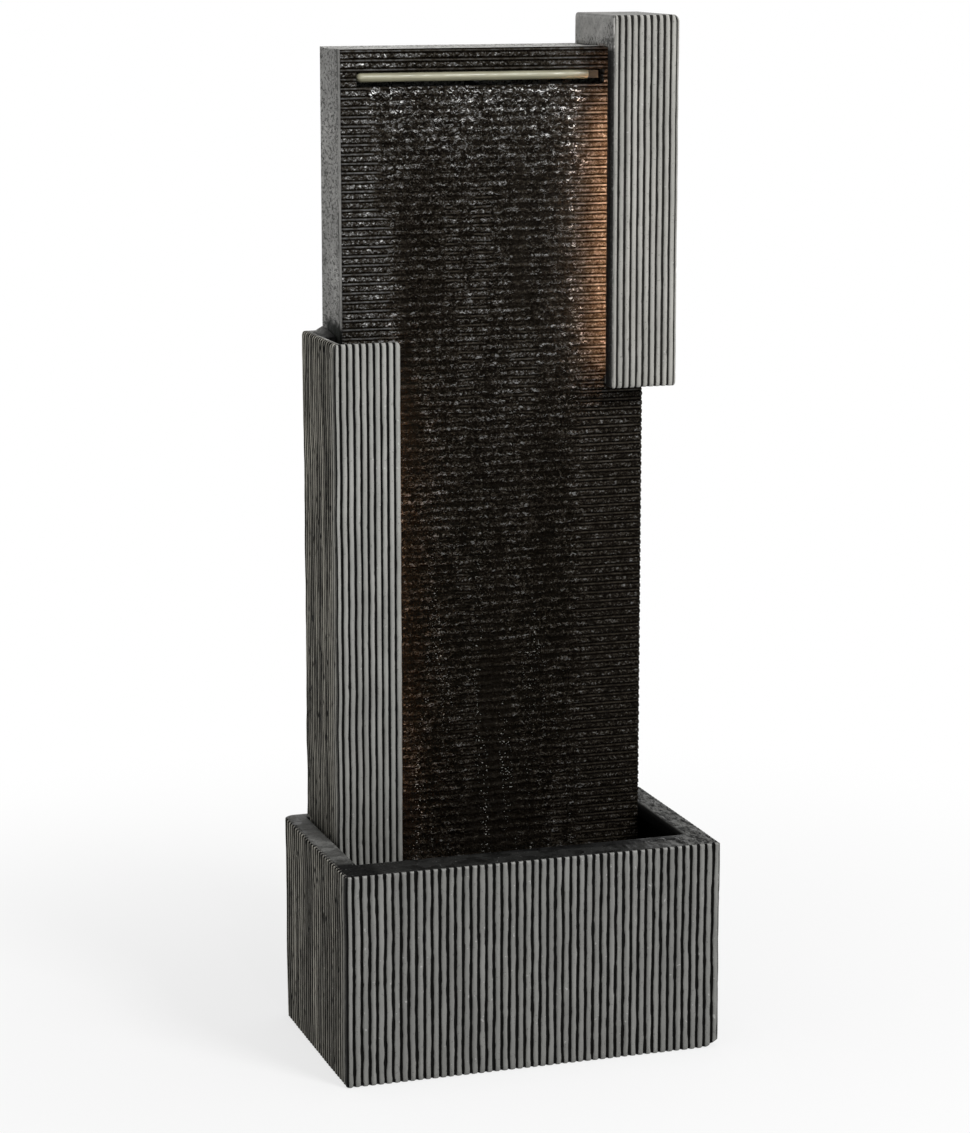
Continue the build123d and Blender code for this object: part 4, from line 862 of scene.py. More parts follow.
def speckled(sheet, place, colour, dark_share):
    """Cast-stone paint with dark pores and a few pale grains."""
    base = mottled(sheet, place, mottled(sheet, place, colour), 150.0, 0.82, 1.16)
    pores = sheet.spots(place, 420.0, 0.57, 0.67, dark_share, detail=3.0, roughness=0.7)
    grains = sheet.spots(place, 610.0, 0.70, 0.78, 0.35, detail=1.0)
    return sheet.mix(grains, sheet.mix(pores, base, PORE), PALE_GRAIN)


def rib_coat(sheet, place, crown, wash, side_darkening):
    """Dry-brushed crowns over a dark wash; on the left sides, away from the light, painted shade in dark
    streaks and lighter, warmer crowns as painted light.
    """
    relief, tone, edge, weather = (zone(sheet, field) for field in ("relief", "tone", "edge", "weather"))
    brush = sheet.times(sheet.swing(place, 260.0, 3.0), sheet.line(weather, -0.05, 0.10))
    streaks = sheet.noise(sheet.stretch(place, 1.0, 1.0, 0.07), 130.0, 3.0, 0.6)
    # Painted shade: dark streaks on the left sides
    side_shade_streaks = sheet.times(weather, sheet.ramp(streaks, 0.36, 0.62, -0.6 * side_darkening, -1.0 * side_darkening))
    on_crown = sheet.ramp(sheet.total(brush, relief, side_shade_streaks), 0.42, 0.76)
    strokes = mottled(sheet, sheet.stretch(place, 1.0, 1.0, 0.22), crown, 60.0, 0.86, 1.1)
    rib_tone = sheet.line(sheet.minus(tone, 0.5), sheet.line(weather, 1.3, 0.34), 1.0)
    toned = sheet.dimmed(strokes, rib_tone)
    pitted = sheet.mix(sheet.spots(place, 520.0, 0.62, 0.72, 0.4), toned, SOOT)
    flecks = sheet.spots(place, 230.0, 0.735, 0.775, 0.6, detail=1.0)
    flecked = sheet.mix(flecks, pitted, (0.5, 0.5, 0.48))
    # Pale top edges of the ribs: wear of the paint and painted highlight where light catches the rounded
    # edges
    wear = sheet.times(edge, sheet.spots(place, 150.0, 0.35, 0.62), 0.55)
    worn = sheet.mix(wear, flecked, (0.46, 0.46, 0.44))
    # Painted light: crowns on the left sides lighter and warmer
    side_lightened = sheet.mix(weather, worn, sheet.tinted(worn, (1.55, 1.48, 1.35)))
    # Painted shade: crowns darker towards the foot, as the light falls off downwards
    foot_shade = sheet.ramp(sheet.axes(place)[2], 0.24, 0.56, 0.80, 1.0)
    return sheet.mix(on_crown, wash, sheet.dimmed(side_lightened, foot_shade))


def cast_coat(sheet, place, colour):
    """Plain casting, darker on the top face and stained by the front and the wall."""
    _, depth, height = sheet.axes(place)
    top_dimming = sheet.ramp(height, BLOCK_HIGH.z - 0.003, BLOCK_HIGH.z - 0.0005, 1.0, 0.55)
    top_dimmed = speckled(sheet, place, sheet.dimmed(colour, top_dimming), 0.5)
    by_front = sheet.ramp(depth, BLOCK_LOW.y + 0.045, BLOCK_LOW.y + 0.004, 0.0, 0.10)
    by_wall = sheet.ramp(height, SLATE_HIGH.z + 0.014, SLATE_HIGH.z + 0.002, 0.0, 0.14)
    stains = sheet.total(sheet.noise(place, 260.0, 4.0, 0.7), by_front, by_wall)
    return sheet.mix(sheet.ramp(stains, 0.60, 0.72, 0.0, 0.7), top_dimmed, SOOT)


def rim_coat(sheet, place, colour):
    """Paint of the rim, damp at the front and beaded on the right with painted highlights and shade of the
    drops, and how wet it is.
    """
    across, depth, _ = sheet.axes(place)
    beads = zone(sheet, "bead")
    right, left = sheet.ramp(across, *RIM_RIGHT), sheet.ramp(across, *RIM_LEFT)
    front = sheet.times(sheet.ramp(depth, *RIM_STRIP), sheet.rest(right))
    left_light = sheet.times(left, sheet.ramp(depth, *RIM_BACK, -0.9, 1.0), 0.7)
    level = sheet.total(1.0, sheet.times(front, -0.84), sheet.times(right, 0.2), left_light)
    dry = speckled(sheet, place, sheet.dimmed(colour, level), 0.8)

    # Damp patches, and painted shade round the beads as dark outlines
    patches = sheet.spots(place, 48.0, 0.46, 0.54, 0.7, detail=3.0, roughness=0.6)
    film = sheet.times(patches, sheet.rest(sheet.times(right, 0.6)))
    damp = sheet.most(sheet.times(beads, sheet.line(right, 0.75, 0.2)), film)
    outline = sheet.times(sheet.strip(beads, 0.16, 0.15, 0.06), right)
    wetted = sheet.mix(damp, dry, sheet.tinted(dry, (0.36, 0.36, 0.36)))
    bead_shaded = sheet.mix(outline, wetted, (0.006, 0.006, 0.006))

    # Painted highlights and shade of water drops: light and dark dapples on the right
    dapple = sheet.noise(sheet.stretch(place, 1.0, 0.3, 1.0), 300.0)
    lit = sheet.times(sheet.ramp(dapple, 0.46, 0.40, 0.0, 0.6), right)
    dark = sheet.times(sheet.ramp(dapple, 0.55, 0.60, 0.0, 0.85), right)
    dappled = sheet.mix(dark, sheet.mix(lit, bead_shaded, (0.16, 0.16, 0.155)), DEEP_BLACK)

    # Wet inner margin of the front, wider towards the right
    margin = sheet.ramp(across, -0.12, 0.12, 0.001, 0.017)
    shore = sheet.total(sheet.times(sheet.swing(place, 90.0, 3.0), 0.0025), depth, margin)
    past_shore = sheet.ramp(sheet.minus(shore, MOUTH_FRONT), -0.0005, 0.0015, 0.0, 0.94)
    in_span = sheet.ramp(sheet.math("ABSOLUTE", across), *MOUTH_SPAN)
    return sheet.mix(sheet.times(past_shore, in_span), dappled, DEEP_BLACK), sheet.most(beads, damp)


def ribbed_paint(name, crown, wash, cast, rim, side_darkening):
    """Paint of a casting: ribs, plain faces, rim, and black painted shade in hollows and corners, by their
    zones.
    """
    material, sheet, shader = new_material(name)
    place = own_place(sheet)
    on_rim = zone(sheet, "rim")
    ribs = rib_coat(sheet, place, crown, wash, side_darkening)
    outer = sheet.mix(zone(sheet, "plain"), ribs, cast_coat(sheet, place, cast))
    rim_paint, rim_wet = rim_coat(sheet, place, rim)
    painted = sheet.mix(zone(sheet, "inside"), sheet.mix(on_rim, outer, rim_paint), DEEP_BLACK)
    roughness = sheet.total(sheet.varied(place, 90.0, 0.62, 0.82), sheet.times(on_rim, rim_wet, -0.5))
    coat(sheet, shader, painted, roughness, 0.09)
    grit = sheet.total(sheet.noise(place, 420.0, 3.0, 0.7), sheet.times(sheet.noise(place, 120.0), 0.7))
    bump(sheet, shader, grit, 0.35, 0.0007)
    return material


WallLight = namedtuple("WallLight", "bright under_bar by_block veil clear")


def wall_light(sheet, place, wet):
    """Painted light of the wall: brighter towards the top, under the bar, on the dry left and in the
    strip's glow by the block, and where a veil of water or the block calms it.
    """
    across, _, height = sheet.axes(place)
    lanes = sheet.ramp(sheet.noise(sheet.stretch(place, 1.0, 1.0, 0.08), 26.0), 0.38, 0.62, -0.25, 0.25)
    laned = sheet.times(sheet.ramp(height, *WALL_GLOW, 0.35, 1.0), sheet.line(lanes, wet, 1.0))
    fall = sheet.ramp(height, *BAR_GLOW)
    under_bar = sheet.times(fall, fall, wet)
    left_margin = sheet.times(sheet.rest(wet), sheet.ramp(across, -0.06, -0.10))
    dry_left = sheet.times(left_margin, sheet.ramp(height, *ABOVE_PILLAR), 0.9)
    # Painted light: the slate brighter by the block, where the strip's glow falls
    by_block = sheet.times(sheet.ramp(across, *BY_BLOCK_ACROSS), sheet.ramp(height, *BY_BLOCK_UP))
    bright = sheet.total(laned, sheet.times(under_bar, 0.6), dry_left, sheet.times(by_block, 0.8))
    haze = sheet.spots(sheet.stretch(place, 1.0, 1.0, 0.09), 21.0, 0.54, 0.62)
    veil = sheet.times(haze, wet, sheet.ramp(height, *VEIL_FALL))
    return WallLight(bright, under_bar, by_block, veil, sheet.line(veil, -0.7, 1.0))


def slate_level(sheet, place, flat, wet, light):
    """How far the slate is painted as lit: rough bands, smooth fillets and painted curls of light on the
    water.
    """
    course = zone(sheet, "course")
    band = sheet.strip(course, BAND_MIDDLE, 0.26, 0.18)
    fillet = sheet.strip(course, FILLET_MIDDLE, 0.12, 0.06)

    # Split faces, whose painted light spreads over powers of ten
    fine = sheet.times(sheet.minus(sheet.noise(flat, 390.0, 3.0, 0.6, 0.7), 0.5), 6.4)
    coarse = sheet.times(sheet.minus(sheet.noise(flat, 80.0), 0.5), 2.2)
    calm = sheet.times(sheet.line(light.by_block, -0.5, 1.0), light.clear)
    power = sheet.times(sheet.total(fine, coarse), calm)
    spread = sheet.math("MINIMUM", sheet.math("POWER", 10.0, power), 24.0)
    by_block, in_veil = sheet.times(light.by_block, 0.3), sheet.times(light.veil, 0.3)
    covered = sheet.most(band, sheet.total(by_block, sheet.times(wet, 0.45), in_veil, 0.1))
    rough = sheet.times(spread, covered, sheet.line(wet, -0.35, 1.0))
    smooth = sheet.times(fillet, sheet.varied(flat, 150.0, 1.2, 4.2), sheet.line(wet, -0.92, 1.0))

    # Painted glints: curls of light, closer together where wet and dry meet
    bent = sheet.swing(sheet.stretch(place, 0.8, 0.3, 1.0), 210.0)
    stroke = sheet.strip(sheet.line(bent, 2.3, sheet.times(course, 2.0)), 0.5, 0.24, 0.10)
    broken = sheet.spots(sheet.stretch(place, 0.75, 0.3, 1.2), 330.0, 0.50, 0.57)
    clusters = sheet.ramp(sheet.noise(flat, 130.0), 0.42, 0.60, 0.12, 1.0)
    lace = sheet.line(sheet.times(wet, sheet.rest(wet)), 4.4, wet)
    gleam = sheet.line(light.under_bar, 20.0, 10.4)
    curls = sheet.times(stroke, broken, clusters, sheet.most(band, 0.78), lace, gleam, light.clear)

    # Painted shade in the cuts between the courses
    shaded = sheet.ramp(zone(sheet, "relief"), 0.06, 0.66, 0.3, 1.0)
    return sheet.times(sheet.total(rough, smooth, curls), light.bright, shaded)


def slate_paint(colours):
    """Black slate with painted light: dull at the dry margins, wet and with painted glints where the water
    runs.
    """
    material, sheet, shader = new_material("wet_slate")
    place = own_place(sheet)
    flat = sheet.stretch(place, 1.0, 0.3, 1.3)
    wet, plain = zone(sheet, "wet"), zone(sheet, "plain")
    across, _, height = sheet.axes(place)
    light = wall_light(sheet, place, wet)
    level = slate_level(sheet, place, flat, wet, light)
    # Where the painted light is strong the colour turns a neutral grey, as highlights do
    highlight_grey = sheet.mix(sheet.ramp(level, 0.7, 3.5), colours.slate_crown, (0.0194, 0.0194, 0.0192))
    stone = sheet.dimmed(highlight_grey, level)

    # Painted glints: bright points low in the streams and splashes under the bar
    streams = sheet.spots(sheet.stretch(place, 1.0, 1.0, 0.1), 70.0, 0.52, 0.66, detail=3.0)
    points = sheet.spots(flat, 560.0, 0.68, 0.74, detail=1.0)
    sparks = sheet.times(points, streams, wet, sheet.ramp(height, 0.30, 0.56, 0.75, 0.1))
    splash = sheet.times(sheet.spots(flat, 300.0, 0.64, 0.74, distortion=0.8), light.under_bar)
    glinting = sheet.mix(sheet.most(sparks, splash), stone, (0.5, 0.5, 0.47))
    wall = sheet.mix(1.0, glinting, colours.slate_line, "ADD")

    # Painted shade: the wall's left side goes black where it runs down into the pillar's open top
    pocket_shade = sheet.times(sheet.ramp(height, *SLATE_POCKET_SHADE), sheet.ramp(across, *LEFT_CHEEK))
    cast = sheet.mix(pocket_shade, speckled(sheet, place, colours.plain_paint, 0.5), (0.006, 0.006, 0.005))
    gloss = sheet.total(sheet.varied(place, 300.0, 0.10, 0.20), sheet.line(wet, -0.1, 0.1))
    coat(sheet, shader, sheet.mix(plain, wall, cast), sheet.line(plain, 0.5, gloss), 0.022)
    chips = sheet.noise(flat, 330.0, 3.0, 0.6, 0.6)
    ripple = sheet.times(sheet.noise(sheet.stretch(place, 1.0, 1.0, 0.55), 240.0), wet)
    bump(sheet, shader, sheet.total(chips, ripple), sheet.line(light.by_block, -0.6, 1.0), 0.0030)
    return material


def cast_cement(colour):
    """Streaked and scuffed cement, stained along the slate, with painted shade low on the left cheek where
    it runs down into the pillar's open top.
    """
    material, sheet, shader = new_material("grey_cement")
    place = own_place(sheet)
    across, depth, height = sheet.axes(place)
    streaks = sheet.varied(sheet.stretch(place, 1.0, 1.0, 0.12), 190.0, 0.90, 1.07, 3.0)
    streaked = sheet.dimmed(speckled(sheet, place, colour, 0.8), streaks)
    pitted_place = sheet.stretch(place, 1.0, 0.4, 0.9)
    scuffs = sheet.spots(pitted_place, 430.0, 0.50, 0.60, 0.75, detail=3.0, roughness=0.7)
    by_slate = sheet.times(sheet.ramp(depth, SHELL_LOW.y + 0.0216, SHELL_LOW.y + 0.0016), 0.8)
    splash = sheet.times(by_slate, sheet.spots(place, 260.0, 0.47, 0.6, detail=3.0, roughness=0.65))
    seam_edge = sheet.line(sheet.swing(place, 160.0), 0.0022, depth)
    seam = sheet.ramp(seam_edge, SHELL_LOW.y + 0.0046, SHELL_LOW.y + 0.0028, 0.0, 0.9)
    marked = sheet.mix(sheet.most(scuffs, splash, seam), streaked, (0.022, 0.022, 0.018))
    ragged = sheet.line(sheet.swing(place, 120.0), 0.006, height)
    off_back = sheet.ramp(depth, SHELL_HIGH.y - 0.007, SHELL_HIGH.y - 0.017)
    # Painted shade: the left cheek goes black where it runs down into the pillar's open top
    pocket_shade = sheet.times(sheet.ramp(ragged, *CEMENT_POCKET_SHADE), off_back, sheet.ramp(across, *LEFT_CHEEK))
    painted = sheet.mix(pocket_shade, marked, (0.005, 0.006, 0.004))
    coat(sheet, shader, painted, sheet.varied(place, 80.0, 0.66, 0.86), 0.14)
    grit = sheet.total(sheet.noise(place, 400.0, 3.0, 0.7), sheet.times(sheet.noise(place, 90.0), 1.2))
    bump(sheet, shader, grit, 0.6, 0.0012)
    return material


# Colour, roughness, scale of the grain and shine of each moulded or pressed finish
MOULDINGS = {
    "black_plastic": ((0.022, 0.022, 0.024), 0.46, 900.0, 0.5),
    "black_rubber": ((0.016, 0.016, 0.016), 0.7, 900.0, 0.5),
    # The plug's grey is painted darker, as shade against the glow of the strip beside it
    "grey_plastic": (from_screen(46, 44, 34), 0.5, 900.0, 0.5),
    # The keepers are painted near black and dull, as the shade of the slot they sit in
    "keeper_plastic": ((0.005, 0.005, 0.004), 0.8, 900.0, 0.08),
    "dial_plastic": ((0.23, 0.23, 0.21), 0.45, 900.0, 0.5),
    "magnet": ((0.05, 0.05, 0.055), 0.55, 1400.0, 0.5),
    "white_ceramic": ((0.72, 0.72, 0.69), 0.25, 1600.0, 0.5),
}
ROUGHNESS_SPREAD = 0.08


def moulded(name):
    """A moulded or pressed finish with a fine grain, made when it is first asked for."""
    if name in FINISHES:
        return FINISHES[name]
    colour, roughness, grain, shine = MOULDINGS[name]
    material, sheet, shader = new_material(name)
    place = own_place(sheet)
    spread = sheet.varied(place, 160.0, roughness - ROUGHNESS_SPREAD, roughness + ROUGHNESS_SPREAD)
    coat(sheet, shader, mottled(sheet, place, colour, 40.0, 0.88, 1.1), spread, shine)
    bump(sheet, shader, sheet.noise(place, grain), 0.18, 0.0003)
    return material


def bright_steel():
    """Turned steel of the screws and hose clamps, made when it is first asked for."""
    if "screw_steel" in FINISHES:
        return FINISHES["screw_steel"]
    material, sheet, shader = new_material("screw_steel")
    place = own_place(sheet)
    lathe = sheet.noise(sheet.stretch(place, 1.0, 1.0, 0.1), 1500.0)
    polished = sheet.ramp(lathe, 0.3, 0.7, 0.24, 0.42)
    coat(sheet, shader, mottled(sheet, place, (0.6, 0.6, 0.59), 90.0, 0.9, 1.06), polished)
    shader.inputs["Metallic"].default_value = 1.0
    bump(sheet, shader, lathe, 0.12, 0.0002)
    return material


def bar_plastic(colour):
    """Translucent tube with streaks of lime along it and its lower half painted darker as shade."""
    material, sheet, shader = new_material("pale_tube")
    place = own_place(sheet)
    streaks = mottled(sheet, sheet.stretch(place, 0.12, 1.0, 1.0), colour, 300.0, 0.84, 1.08)
    lime = sheet.spots(place, 150.0, 0.62, 0.75, 0.35, detail=3.0)
    spotted = sheet.mix(lime, streaks, (0.20, 0.19, 0.13))
    middle = (TUBE_LOW.z + TUBE_HIGH.z) / 2
    lower_shade = sheet.ramp(sheet.axes(place)[2], middle - 0.0005, middle - 0.0015)
    # Painted shade: the lower half darker
    painted = sheet.mix(lower_shade, spotted, sheet.tinted(spotted, (0.6, 0.6, 0.56)))
    coat(sheet, shader, painted, sheet.varied(place, 120.0, 0.28, 0.48))
    bump(sheet, shader, sheet.noise(sheet.stretch(place, 0.2, 1.0, 1.0), 400.0), 0.15, 0.0004)
    return material


def clear_hose():
    """Cloudy see-through hose with faint rings."""
    material, sheet, shader = new_material("clear_hose")
    place = own_place(sheet)
    cloud = mottled(sheet, place, (0.72, 0.77, 0.74), 30.0, 0.85, 1.05)
    coat(sheet, shader, cloud, sheet.varied(place, 140.0, 0.12, 0.3))
    shader.inputs["Transmission Weight"].default_value = 0.55
    shader.inputs["IOR"].default_value = 1.5
    rings = sheet.math("SINE", sheet.times(sheet.axes(place)[2], 900.0))
    bump(sheet, shader, rings, 0.1, 0.0003)
    return material


def glowing_strip(colours):
    """Silicone sleeve over warm diodes, brighter over each diode and masked behind the spill bar."""
    material, sheet, shader = new_material("warm_light")
    place = own_place(sheet)
    across, _, height = sheet.axes(place)
    turns = sheet.times(height, 2 * math.pi / DIODE_SPACING)
    diodes = sheet.ramp(sheet.math("SINE", turns), -1.0, 1.0, 0.72, 1.0)
    masked = sheet.ramp(height, SLOT_FOOT - 0.004, SLOT_FOOT - 0.034, 0.08, 1.0)
    aged = sheet.ramp(across, -0.05, 0.05, 0.95, 1.0)
    coat(sheet, shader, (0.9, 0.82, 0.7), 0.45)
    lit = sheet.dimmed(colours.glow, sheet.times(diodes, masked, aged))
    sheet.feed(shader.inputs["Emission Color"], lit)
    shader.inputs["Emission Strength"].default_value = colours.glow_strength
    bump(sheet, shader, sheet.noise(place, 500.0), 0.1, 0.0003)
    return material


def dress(material, *names):
    """Gives carried-over nodes one finish."""
    for name in names:
        mesh = NODES[name].data
        mesh.materials.clear()
        mesh.materials.append(material)


# Operators


def settings(context):
    return context.scene.fountain_sizes, context.scene.fountain_colours


def relief_sizes(sizes, pitch, groove, wander, ragged, sway, seed_step):
    return {
        "Rib Pitch": pitch,
        "Groove Width": groove,
        "Relief": sizes.rib_relief,
        "Wander": wander,
        "Ragged": ragged,
        "Sway": sway,
        "Seed": sizes.seed + seed_step,
    }


def close_corners(piece):
    """Joins the points that fall together where an inner corner has no radius."""
    shape = bmesh.new()
    shape.from_mesh(piece.data)
    bmesh.ops.remove_doubles(shape, verts=shape.verts, dist=TOUCHING)
    shape.to_mesh(piece.data)
    shape.free()


def finish_casting(casting, name, node, paint, relief):
    """Makes a grooved and painted piece of the collected skin and lets it stand for its node."""
    piece = casting.piece(name)
    close_corners(piece)
    grow(piece, rib_tree(), paint, relief)
    stand_for(piece, node)


def basin_outline(pitch):
    low, high = BASIN_LOW, BASIN_HIGH
    front, back = CORNER_RADIUS, BASIN_BACK_RADIUS
    left_back, left_front = (low.x, high.y), (low.x, low.y)
    right_front, right_back = (high.x, low.y), (high.x, high.y)
    sides = [
        Side(left_front, right_front, pitch, (front, front)),
        Side(right_front, right_back, pitch, (front, back), (0.0, BARE_END)),
        Side(right_back, left_back, None, (back, back)),
        Side(left_back, left_front, pitch, (back, front), (BARE_END, 0.0)),
    ]
    return walk(sides, closed=True)


class FOUNTAIN_OT_basin(bpy.types.Operator):
    """Build the ribbed basin with its turned-in rim"""

    bl_idname = "fountain.basin"
    bl_label = "Basin"

    def execute(self, context):
        sizes, colours = settings(context)
        low, high, top = BASIN_LOW, BASIN_HIGH, BASIN_HIGH.z
        pitch = sizes.basin_pitch
        stations = basin_outline(pitch)
        mouth_left, mouth_back = low.x + RIM_SIDE, high.y - BASIN_BACK_WALL
        mouth = held_in((mouth_left, MOUTH_FRONT), (MOUTH_RIGHT, mouth_back), stations)
        lip_low = (mouth_left - LIP_ROUNDING, MOUTH_FRONT - LIP_ROUNDING)
        lip_high = (MOUTH_RIGHT + LIP_ROUNDING, mouth_back + LIP_ROUNDING)
        lip = held_in(lip_low, lip_high, stations)
        cavity_low = (low.x + BASIN_WALL, low.y + BASIN_WALL)
        cavity = held_in(cavity_low, (high.x - BASIN_WALL, mouth_back), stations)

        worn = WornCorner(high.x, low.y, level=0.0, move=0.007, reach=0.008)
        casting = Casting(low.y, top, LOW_FLARE, worn)
        rows = [casting.row(stations, 0.0, inset=BASIN_FOOT_INSET)]
        rows += casting.rows(stations, levels(SKIN_FOOT, top - SKIN_TOP, CASTING_ROW))
        for drop, inset, groove, edge, rim in RIM_EDGE:
            rows.append(casting.row(stations, top - drop, inset, groove, edge=edge, rim=rim))
        for number in range(1, RIM_ROWS):
            share = number / RIM_ROWS
            beaded = min(1.0, 3.0 * min(share, 1.0 - share))
            places = between(stations, lip, share)
            rows.append(casting.row(stations, top, partners=places, rim=1.0, bead=beaded))
        rows.append(casting.row(stations, top, partners=lip, rim=1.0))
        for drop, rim, dark in MOUTH_ROWS:
            rows.append(casting.row(stations, top - drop, partners=mouth, rim=rim, inside=dark))
        # The cavity's walls and floor are painted black as shade
        for z in (top - RIM_THICKNESS, BASIN_FLOOR):
            rows.append(casting.row(stations, z, partners=cavity, inside=1.0))
        casting.bands(rows, closed=True)
        casting.face(rows[-1])
        casting.face(rows[0][::-1])

        crown, wash, rim_paint = colours.basin_paint, colours.basin_wash, colours.rim_paint
        paint = ribbed_paint("basin_stone", crown, wash, crown, rim_paint, side_darkening=0.37)
        groove, wander = sizes.basin_groove, sizes.basin_wander
        relief = relief_sizes(sizes, pitch, groove, wander, ragged=0.6, sway=0.0012, seed_step=0)
        finish_casting(casting, "basin_casting", "basin", paint, relief)
        return {"FINISHED"}


def pillar_outline(pitch):
    low, high = PILLAR_LOW, PILLAR_HIGH
    radius, edge = CORNER_RADIUS, PILLAR_EDGE_RADIUS
    left_back, left_front, right_front = (low.x, high.y), (low.x, low.y), (high.x, low.y)
    sides = [
        Side((PILLAR_SEAT, high.y), left_back, None, (0.0, radius)),
        Side(left_back, left_front, pitch, (radius, edge), (BARE_END, 0.0)),
        Side(left_front, right_front, pitch, (edge, radius), (0.0, BARE_END), overrun=PILLAR_OVERRUN),
        Side(right_front, (high.x, low.y + RETURN_DEPTH), None, (radius, 0.0)),
    ]
    return walk(sides, closed=False)


def grout(casting, top):
    """A smear of cement that closes the back corner between the pillar's wall and the tower."""
    wall, tower = PILLAR_LOW.x + GROUT_INSET, PILLAR_SEAT
    start, end = PILLAR_HIGH.y - GROUT_LENGTH, PILLAR_HIGH.y - GROUT_END
    sag = tower - GROUT_SAG * (tower - wall)
    wall_sink, tower_sink, sag_sink = GROUT_SINKS
    rings = []
    for y in levels(start, end, GROUT_STEP):
        share = (y - start) / (end - start)
        rise = GROUT_CLIMB * share ** 0.6 + GROUT_LUMPS * noise.noise(Vector((3.0, y * 120.0, 0.5)))
        section = (
            (wall, top - wall_sink),
            (wall, top - GROUT_DEPTH),
            (tower, top - GROUT_DEPTH),
            (tower, top + rise - tower_sink),
            (sag, top + 0.25 * rise - sag_sink),
        )
        # The grout is painted dark as shade of the corner, darkest at its front end
        dark = casting.DEEPEST_SHADE - 0.67 * share ** 1.5
        rings.append([casting.point(x, y, z, plain=0.7, inside=dark) for x, z in section])
    casting.bands(rings, closed=True)
    casting.face(rings[0][::-1])
    casting.face(rings[-1])


class FOUNTAIN_OT_pillar(bpy.types.Operator):
    """Build the ribbed pillar, open at the top above a sunk lid"""

    bl_idname = "fountain.pillar"
    bl_label = "Left pillar"

    def execute(self, context):
        sizes, colours = settings(context)
        low, high, top = PILLAR_LOW, PILLAR_HIGH, PILLAR_HIGH.z
        pitch = sizes.pillar_pitch
        stations = pillar_outline(pitch)
        foot = drawn_in(stations, FOOT_BACK - FOOT_RUN, FOOT_BACK)
        inner_low, inner_high = inset_plan(low, high, CASTING_WALL)
        inner = held_in(inner_low, inner_high, stations)
        foot_inner = held_in(inner_low, (inner_high[0], FOOT_BACK - CASTING_WALL), foot)
        crest = held_in(*inset_plan(low, high, TIP_RING), stations)
        ledge = BASIN_HIGH.z
        inner_ledge = ledge + CASTING_WALL

        casting = Casting(low.y, top, LOW_FLARE)
        hidden = levels(low.z + PILLAR_FIRST_ROW, ledge - HIDDEN_BELOW_RIM, HIDDEN_ROW)
        shown = levels(ledge - SHOWN_BELOW_RIM, ledge - LEDGE_SLOPE, CASTING_ROW)
        rows = casting.rows(foot, [low.z, *hidden, *shown])
        rows += casting.rows(stations, levels(ledge, top - TIP_START, CASTING_ROW))
        rows += casting.tips(stations, top, 1)
        rows.append(casting.row(stations, top, partners=crest, plain=1.0))
        rows.append(casting.row(stations, top - CREST_DROP, partners=inner, plain=1.0))
        # From here down, the pocket, the hollow and the foot's underside are painted dark as shade
        rows.append(casting.row(stations, top - SHADED_DROP, partners=inner, plain=0.5, inside=0.5))
        rows.append(casting.row(stations, PILLAR_LID_TOP - DARK_DROP, partners=inner, inside=0.9))
        rows.append(casting.row(stations, inner_ledge, partners=inner, inside=0.9))
        rows.append(casting.row(foot, inner_ledge - LEDGE_SLOPE, partners=foot_inner, inside=0.9))
        rows.append(casting.row(foot, low.z, partners=foot_inner, plain=0.5, inside=0.5))
        casting.bands([*rows, rows[0]])
        casting.face([row[0] for row in rows])
        casting.face([row[-1] for row in rows[::-1]])

        lid = [
            (inner_low[0], inner_low[1]),
            (inner_high[0], inner_low[1]),
            (inner_high[0], FRONT_SEAT),
            (PILLAR_SEAT, FRONT_SEAT),
            (PILLAR_SEAT, inner_high[1]),
            (inner_low[0], inner_high[1]),
        ]
        # The sunk lid is painted dark as shade of the pocket above it
        casting.prism(lid, PILLAR_LID_TOP - CASTING_WALL, PILLAR_LID_TOP, plain=0.3, inside=0.7)
        grout(casting, top)

        crown, wash, cast = colours.pillar_paint, colours.pillar_wash, colours.plain_paint
        paint = ribbed_paint("pillar_stone", crown, wash, cast, colours.rim_paint, side_darkening=0.42)
        groove, wander = sizes.tower_groove, sizes.tower_wander
        relief = relief_sizes(sizes, pitch, groove, wander, ragged=0.3, sway=0.0019, seed_step=1)
        finish_casting(casting, "pillar_casting", "left_pillar", paint, relief)
        return {"FINISHED"}


def block_outlines(pitch):
    """Outline of the channel round the wall's edge, and of the head that closes it above the wall."""
    low, high, radius = BLOCK_LOW, BLOCK_HIGH, CORNER_RADIUS
    left_front, right_front = (low.x, low.y), (high.x, low.y)
    left_back, right_back = (low.x, high.y), (high.x, high.y)
    return_end, seat_back = (low.x, low.y + RETURN_DEPTH), (BLOCK_SEAT, high.y)
    channel = [
        Side(return_end, left_front, None, (0.0, radius)),
        Side(left_front, right_front, pitch, (radius, radius), first_groove=BLOCK_FIRST_GROOVE),
        Side(right_front, right_back, pitch, (radius, radius), (0.0, BARE_END)),
        Side(right_back, seat_back, None, (radius, 0.0)),
    ]
    head = [
        Side(seat_back, left_back, None, (0.0, radius)),
        Side(left_back, return_end, None, (radius, 0.0)),
    ]
    lower = walk(channel, closed=False)
    return lower, lower + walk(head, closed=False)[1:-1]


def shade_return(casting, rows, stations):
    """Paints shade on the side of the block that turns back to the wall, more so towards the wall."""
    for row in rows:
        for point, at in zip(row, stations):
            faces_left = at.out_x < -0.7
            if faces_left:
                depth = (at.y - BLOCK_LOW.y) / RETURN_DEPTH
                shade = RETURN_SHADE + RETURN_DARKENING * depth
                casting.fields["inside"][point] = min(casting.DEEPEST_SHADE, shade)


